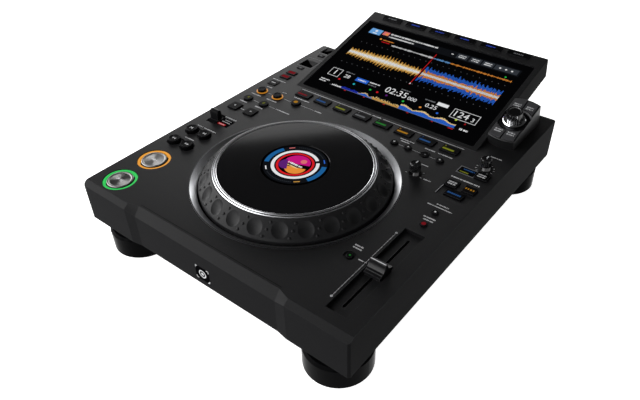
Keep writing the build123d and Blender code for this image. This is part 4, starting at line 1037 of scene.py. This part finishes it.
def draw_readouts(marks):
    """Middle row of figures and the coloured cue dots under it."""
    marks.frame(72.5, 44.0, 15.5, 14.5, 0.6, "white")
    marks.number("1", 72.5, 44.0, 9.0, "white")
    marks.number("28", 91.0, 43.0, 6.0, "white")
    marks.caption(85.0, 50.5, 98.0, 2.0, "grey", 20)
    marks.bar(112.5, 44.5, 17.5, 6.6, "blue")
    marks.caption(107.0, 44.5, 118.0, 2.4, "white", 21, 0.03)
    marks.caption(123.0, 46.4, 138.0, 2.2, "white", 22)
    marks.caption(123.0, 42.2, 135.0, 2.2, "grey", 23)
    marks.number("02:35", 162.0, 44.0, 9.6, "white")
    marks.number("000", 184.5, 42.2, 5.6, "white")
    marks.caption(164.0, 52.6, 176.0, 1.8, "grey", 24)
    marks.bar(221.0, 49.6, 14.0, 5.2, "white")
    marks.caption(198.0, 49.6, 211.0, 2.0, "grey", 25)
    marks.number("0.25", 210.5, 41.2, 6.2, "white")
    marks.frame(252.0, 43.6, 32.0, 15.0, 0.6, "white")
    marks.number("124", 247.0, 43.4, 9.4, "white")
    marks.number("3", 262.5, 41.8, 6.0, "white")
    for x, colour in CUE_DOTS:
        marks.disc(x, 35.0, 1.5, colour, sides=12)
    marks.number("8", 258.0, 33.0, 2.6, "red")
    marks.caption(62.5, 27.4, 76.0, 1.8, "white", 26)
    marks.caption(62.5, 24.0, 72.0, 1.8, "white", 27)
    marks.caption(256.0, 24.0, 266.0, 3.2, "white", 28)


def draw_overview(marks):
    """Whole-track wave along the foot of the picture."""
    draw = random.Random(9)
    marks.line(80.0, OVERVIEW_ROW, 251.0, OVERVIEW_ROW, 0.5, "grey")
    for x in stations(83.0, 250.0, 0.9):
        if x < 96.0:
            ink, high = "white", draw.uniform(1.0, 3.0)
        elif x < 120.0:
            ink, high = "deep_blue", draw.uniform(2.5, 4.5)
        elif x < 141.0:
            ink, high = "blue", 3.0 + 2.0 * math.sin(x / 2.5) + draw.uniform(0, 1.5)
        elif x < 178.0:
            ink, high = "gold", draw.uniform(2.0, 5.4)
        else:
            ink, high = "blue", 6.0 + 1.6 * math.sin(x / 4.0) + draw.uniform(0, 1.2)
        marks.bar(x, OVERVIEW_ROW + high / 2, 0.75, high, ink)
        if x > 120.0:
            marks.bar(x, OVERVIEW_ROW + high * 0.92, 0.75, high * 0.3, "cream", 0.02)
    marks.bar(247.0, OVERVIEW_ROW - 1.8, 6.0, 1.0, "red")
    for x in (104.0, 132.0, 160.0, 192.0, 224.0):
        marks.bar(x, OVERVIEW_ROW - 1.6, 2.2, 0.9, "red")


def picture_screen(name):
    """Picture on the tilted display, right under its glass."""
    plane = above(SCREEN, -GLASS_THICKNESS) @ Matrix.Translation((PICTURE_LEFT, 0, 0))
    marks = Marks(plane, "picture_", PICTURE_FOOT, PICTURE_TOP)
    draw_backing(marks)
    draw_status(marks)
    draw_wave(marks)
    draw_beats(marks)
    draw_readouts(marks)
    draw_overview(marks)
    marks.piece(name, ROOT, "display")


# ---- picture on the round display
# Small lit marks of the outer band: degrees and colour. The bare stretches between have ticks.
BAND_MARKS = [(136, "pink"), (44, "blue"), (227, "white"), (313, "gold")]
BAND_TICKS = (*range(56, 122, 4), *range(240, 302, 4))


def picture_jog(name):
    """Round picture in the middle of the jog wheel: rings, arcs and a field of soft shapes."""
    marks = Marks(top_of("jog_display"), "picture_")
    marks.disc(0.0, 0.0, 31.8, "dark", sides=64)
    marks.ring(0.0, 0.0, 20.6, 24.0, "white", 50, 350, 0.03)
    marks.disc(0.0, 0.0, 19.0, "red", 0.03, 48)
    marks.disc(0.0, 0.0, 16.6, "black", 0.05, 48)
    marks.shape(arc(0.6, 2.0, 13.6, 15, 190, 40), "magenta", 0.07)
    marks.shape(arc(3.4, -3.6, 11.0, 200, 175, 32), "orange", 0.09)
    marks.shape(arc(-7.0, -4.6, 8.0, 120, 190, 28), "purple", 0.12)
    marks.disc(4.6, 8.0, 3.2, "pink", 0.15, 24)
    marks.caption(-8.0, -0.6, 9.0, 2.6, "white", 31, 0.18)
    marks.caption(-6.0, -4.4, 7.0, 1.9, "cream", 32, 0.18)
    for start in (-27, 153):
        marks.ring(0.0, 0.0, 26.6, 31.4, "steel_blue", start, 54, 0.03)
    for turn, colour in BAND_MARKS:
        marks.ring(0.0, 0.0, 28.2, 29.4, colour, turn - 6, 12, 0.03)
    for turn in BAND_TICKS:
        marks.ring(0.0, 0.0, 28.4, 29.2, "slate", turn, 2.4, 0.03, 200)
    marks.piece(name, ROOT, "display")


# ---- small fittings
# Rings of a pip from its sunk foot up: share of its radius and of its height.
PIP_RINGS = [(1.0, -0.35), (1.0, 0.0), (0.8, 0.62), (0.45, 0.92)]
PIP_SIDES = 12
# Pips of a row: radius from the jog axis, height above the deck, degrees from the middle of the gap.
PIP_ROWS = [(84.9, 11.49, 1.9), (89.7, 6.51, 0.0), (94.1, 1.94, -1.9)]
PIP_SLOPE = math.radians(46.1)


def add_pip(shape, place, across, along, out, radius, height):
    """Low round pip on a surface, closed underneath."""
    rows = []
    for reach, rise in PIP_RINGS:
        ring = []
        for step in range(PIP_SIDES):
            turn = 2 * math.pi * step / PIP_SIDES
            offset = across * math.cos(turn) + along * math.sin(turn)
            ring.append(shape.verts.new(place + offset * radius * reach + out * height * rise))
        rows.append(ring)
    top = shape.verts.new(place + out * height)
    shape.faces.new(rows[0][::-1])
    for step in range(PIP_SIDES):
        after = (step + 1) % PIP_SIDES
        for lower, upper in zip(rows, rows[1:]):
            shape.faces.new((lower[step], lower[after], upper[after], upper[step]))
        shape.faces.new((rows[-1][step], rows[-1][after], top))


def jog_pips(name):
    """Slanted rows of three pips between the dimples of the grip ring."""
    settings = bpy.context.scene.player_jog
    shape = bmesh.new()
    for number in range(settings.dimples):
        gap = 360 / settings.dimples * (number + 0.5) + math.degrees(settings.first_dimple)
        for radius, height, shift in PIP_ROWS:
            turn = math.radians(gap + shift)
            outward = Vector((math.cos(turn), math.sin(turn), 0.0))
            out = outward * math.sin(PIP_SLOPE) + Vector((0, 0, math.cos(PIP_SLOPE)))
            across = Vector((-outward.y, outward.x, 0.0))
            place = JOG @ (outward * radius + Vector((0, 0, height)))
            add_pip(shape, place, across, out.cross(across), out, settings.pip_radius, settings.pip_height)
    bmesh.ops.recalc_face_normals(shape, faces=shape.faces)
    mesh = bpy.data.meshes.new(name)
    shape.to_mesh(mesh)
    shape.free()
    mesh.materials.append(materials["jog_grip_rubber"])
    for face in mesh.polygons:
        face.use_smooth = True
    piece = link_object(name, mesh)
    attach(piece, "jog_wheel")


def slider_line(name):
    """White index line over the ridge of the slider cap."""
    low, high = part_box("tempo_slider")
    marks = Marks(top_of("tempo_slider"))
    marks.bar(0.0, 0.0, (high.x - low.x) / MM - 0.6, 1.1, "print_white")
    marks.piece(name, "tempo_slider", "cap_plastic")


def knob_pointer(node):
    """White pointer from the middle of a knob's top to its edge."""
    marks = Marks(top_of(node))
    marks.bar(0.0, 2.4, 0.9, 4.2, "print_white")
    marks.piece(f"{node}_pointer", node, "knob_plastic")


# ---- stage
# Surroundings: sine of the height where the pale walls end and the dim ceiling starts.
WALL_TOP, CEILING_START = 0.18, 0.32
WALL_LIGHT, CEILING_LIGHT = 1.0, 0.03
LAMP_AIM = Vector((0.0, 0.0, 0.08))
LAMP_REACH = 1.6
# Soft boxes: name, degrees clockwise from the back, degrees up, width and height, watts.
STUDIO_LAMPS = [
    ("left_lamp", 242.0, 13.0, (2.5, 0.71), 25.0),
    ("upper_lamp", 222.0, 36.5, (1.5, 0.7), 12.5),
    ("front_lamp", 180.0, 15.5, (1.3, 0.85), 6.9),
    ("back_lamp", 320.0, 12.0, (1.5, 0.6), 8.2),
    ("back_card", 313.0, 24.4, (1.0, 0.5), 6.6),
]
FLOOR_TINTS = ((226, 226, 226), (230, 230, 230))
# Half sizes in metres of the patch under the player that shows no white, and how sharp its edge is.
UNDER_PLAYER = (("X", 0.13), ("Y", 0.19))
PATCH_EDGE = 100.0
# Camera: place in metres, its right and back axes, and its frame shift.
CAMERA_PLACE = (0.337337, -0.464661, 0.447276)
CAMERA_RIGHT = Vector((0.78878142, 0.61449059, -0.01500623))
CAMERA_BACK = Vector((0.48730549, -0.61026952, 0.62458344))
CAMERA_SHIFT = (-0.012936, 0.001947)


def pale_floor():
    """Pale floor that shows white round the player and keeps its shadow."""
    tree, shader = new_material("pale_floor")
    slow = noise(tree, object_place(tree), 3.0, detail=2.0, roughness=0.5)
    dark, light = (linear(tint) for tint in FLOOR_TINTS)
    tree.links.new(mix_colour(tree, slow, dark, light), shader.inputs["Base Color"])
    shader.inputs["Roughness"].default_value = 0.9
    shader.inputs["Specular IOR Level"].default_value = 0.0
    path = tree.nodes.new("ShaderNodeLightPath")
    seen = math_node(tree, "MAXIMUM", path.outputs["Is Camera Ray"], path.outputs["Is Glossy Ray"])
    seen = math_node(tree, "MAXIMUM", seen, path.outputs["Is Transmission Ray"])
    axes = split_axes(tree, object_place(tree))
    past = [math_node(tree, "SUBTRACT", math_node(tree, "ABSOLUTE", axes[axis]), half)
            for axis, half in UNDER_PLAYER]
    outside = math_node(tree, "MULTIPLY", math_node(tree, "MAXIMUM", *past), PATCH_EDGE, clamp=True)
    shader.inputs["Emission Color"].default_value = (1, 1, 1, 1)
    tree.links.new(math_node(tree, "MULTIPLY", seen, outside), shader.inputs["Emission Strength"])


def add_floor(size):
    """Square floor round the player."""
    half = size / 2
    corners = [(-half, -half, 0), (half, -half, 0), (half, half, 0), (-half, half, 0)]
    floor = new_mesh("studio_floor", corners, [(0, 1, 2, 3)])
    pale_floor()
    floor.data.materials.append(materials["pale_floor"])


def set_world():
    """Studio surroundings: pale walls round a dim ceiling."""
    world = bpy.data.worlds.new("studio")
    world.use_nodes = True
    tree = world.node_tree
    back = tree.nodes["Background"]
    back.inputs["Color"].default_value = (1, 1, 1, 1)
    axes = split_axes(tree, tree.nodes.new("ShaderNodeTexCoord").outputs["Generated"])
    fall = tree.nodes.new("ShaderNodeMapRange")
    fall.interpolation_type = "SMOOTHSTEP"
    for place, value in enumerate((WALL_TOP, CEILING_START, WALL_LIGHT, CEILING_LIGHT), 1):
        fall.inputs[place].default_value = value
    tree.links.new(axes["Z"], fall.inputs["Value"])
    tree.links.new(fall.outputs["Result"], back.inputs["Strength"])
    bpy.context.scene.world = world


def add_lamp(name, azimuth, height, size, power):
    """Soft rectangular lamp that points at the player, itself out of sight."""
    lamp = bpy.data.lights.new(name, "AREA")
    lamp.shape = "RECTANGLE"
    lamp.size, lamp.size_y = size
    lamp.energy = power
    turn, tilt = math.radians(azimuth), math.radians(height)
    out = Vector((math.sin(turn) * math.cos(tilt), math.cos(turn) * math.cos(tilt), math.sin(tilt)))
    piece = link_object(name, lamp)
    piece.location = LAMP_AIM + out * LAMP_REACH
    piece.rotation_euler = (-out).to_track_quat("-Z", "Y").to_euler()
    piece.visible_camera = False


def add_camera(lens):
    """Camera in front of the player, to its right and above it."""
    camera = bpy.data.cameras.new("studio_camera")
    camera.sensor_width = 36.0
    camera.lens = lens
    camera.shift_x, camera.shift_y = CAMERA_SHIFT
    camera.clip_start, camera.clip_end = 0.01, 50.0
    piece = link_object("studio_camera", camera)
    turn = Matrix((CAMERA_RIGHT, CAMERA_BACK.cross(CAMERA_RIGHT), CAMERA_BACK)).transposed()
    piece.matrix_world = Matrix.Translation(CAMERA_PLACE) @ turn.to_4x4()
    bpy.context.scene.camera = piece


# ---- add-on
class PlayerColours(PropertyGroup):
    """Colours that a user would change."""

    panel: FloatVectorProperty(name="Panel", description="Colour of the deck, walls and screen slab",
                               default=(0.098, 0.098, 0.1), subtype="COLOR_GAMMA", size=3, min=0, max=1)
    play_ring: FloatVectorProperty(name="Play ring", description="Light round the play key",
                                   default=(0.196, 0.804, 0.361), subtype="COLOR_GAMMA", size=3, min=0,
                                   max=1)
    cue_ring: FloatVectorProperty(name="Cue ring", description="Light round the cue key",
                                  default=(0.925, 0.62, 0.173), subtype="COLOR_GAMMA", size=3, min=0,
                                  max=1)


class PlayerJog(PropertyGroup):
    """Grip ring of the jog wheel."""

    dimples: IntProperty(name="Dimples", description="Dimples round the grip ring", default=24, min=3)
    first_dimple: FloatProperty(name="First dimple", description="Angle from the right to the first dimple",
                                subtype="ANGLE", unit="ROTATION", default=math.radians(1.2))
    pip_radius: FloatProperty(name="Pip radius", description="Radius of the pips between the dimples",
                              subtype="DISTANCE", unit="LENGTH", default=0.0015)
    pip_height: FloatProperty(name="Pip height", description="Height of the pips",
                              subtype="DISTANCE", unit="LENGTH", default=0.0009)


class PlayerStage(PropertyGroup):
    """Sizes of the studio."""

    floor_size: FloatProperty(name="Floor", description="Side of the square floor",
                              subtype="DISTANCE", unit="LENGTH", default=16.0)
    lens: FloatProperty(name="Lens", description="Focal length of the camera",
                        subtype="DISTANCE_CAMERA", unit="CAMERA", default=35.202)


class PLAYER_OT_finishes(Operator):
    """Make the materials and dress every CAD node"""

    bl_idname = "player.finishes"
    bl_label = "Finishes"

    def execute(self, context):
        build_materials()
        dress_nodes()
        return {"FINISHED"}


class PLAYER_OT_panel_print(Operator):
    """Print the words, lines and scales on the deck, and the badge on the front"""

    bl_idname = "player.panel_print"
    bl_label = "Panel print"

    def execute(self, context):
        print_deck("deck_print")
        front_badge("front_badge")
        return {"FINISHED"}


class PLAYER_OT_hot_cue_marks(Operator):
    """Mark the eight hot cue keys, each mark riding on its key"""

    bl_idname = "player.hot_cue_marks"
    bl_label = "Hot cue marks"

    def execute(self, context):
        mark_hot_cues()
        return {"FINISHED"}


class PLAYER_OT_key_marks(Operator):
    """Mark the other keys of the deck, the screen and the pod"""

    bl_idname = "player.key_marks"
    bl_label = "Key marks"

    def execute(self, context):
        mark_single_keys()
        mark_column_keys("column_keys_marks")
        mark_screen_keys("screen_keys_marks")
        mark_pod_keys("pod_keys_marks")
        return {"FINISHED"}


class PLAYER_OT_screen_picture(Operator):
    """Draw the picture of the tilted screen"""

    bl_idname = "player.screen_picture"
    bl_label = "Screen picture"

    def execute(self, context):
        picture_screen("screen_picture")
        return {"FINISHED"}


class PLAYER_OT_jog_picture(Operator):
    """Draw the picture of the round display"""

    bl_idname = "player.jog_picture"
    bl_label = "Jog picture"

    def execute(self, context):
        picture_jog("jog_picture")
        return {"FINISHED"}


class PLAYER_OT_jog_pips(Operator):
    """Add the pips between the dimples of the jog wheel"""

    bl_idname = "player.jog_pips"
    bl_label = "Jog pips"

    def execute(self, context):
        jog_pips("jog_pips")
        return {"FINISHED"}


class PLAYER_OT_pointers(Operator):
    """Add the slider's line and the knobs' pointers"""

    bl_idname = "player.pointers"
    bl_label = "Pointers"

    def execute(self, context):
        slider_line("slider_line")
        knob_pointer("vinyl_speed_knob")
        knob_pointer("jog_adjust_knob")
        return {"FINISHED"}


class PLAYER_OT_stage(Operator):
    """Set up the floor, surroundings, lamps and camera"""

    bl_idname = "player.stage"
    bl_label = "Stage"

    def execute(self, context):
        settings = context.scene.player_stage
        add_floor(settings.floor_size)
        set_world()
        for lamp in STUDIO_LAMPS:
            add_lamp(*lamp)
        add_camera(settings.lens)
        context.scene.view_settings.view_transform = "Standard"
        return {"FINISHED"}


STEPS = (PLAYER_OT_finishes, PLAYER_OT_panel_print, PLAYER_OT_hot_cue_marks, PLAYER_OT_key_marks,
         PLAYER_OT_screen_picture, PLAYER_OT_jog_picture, PLAYER_OT_jog_pips, PLAYER_OT_pointers,
         PLAYER_OT_stage)


class PLAYER_PT_panel(Panel):
    """Lists the steps and settings of the player"""

    bl_label = "Player"
    bl_idname = "PLAYER_PT_panel"
    bl_space_type = "VIEW_3D"
    bl_region_type = "UI"
    bl_category = "Player"

    def draw(self, context):
        for step in STEPS:
            self.layout.operator(step.bl_idname)
        for name, group in SETTINGS:
            for label in group.__annotations__:
                self.layout.prop(getattr(context.scene, name), label)


SETTINGS = (("player_colours", PlayerColours), ("player_jog", PlayerJog), ("player_stage", PlayerStage))
CLASSES = (*(group for name, group in SETTINGS), *STEPS, PLAYER_PT_panel)


def register():
    """Register the classes and attach the settings to the scene."""
    for kind in CLASSES:
        bpy.utils.register_class(kind)
    for name, group in SETTINGS:
        setattr(bpy.types.Scene, name, PointerProperty(type=group))


def unregister():
    """Take the settings and classes away again."""
    for name, group in SETTINGS:
        delattr(bpy.types.Scene, name)
    for kind in reversed(CLASSES):
        bpy.utils.unregister_class(kind)


def main():
    """Run every step in order."""
    register()
    for step in STEPS:
        getattr(bpy.ops.player, step.bl_idname.split(".")[1])()


if __name__ == "__main__":
    main()
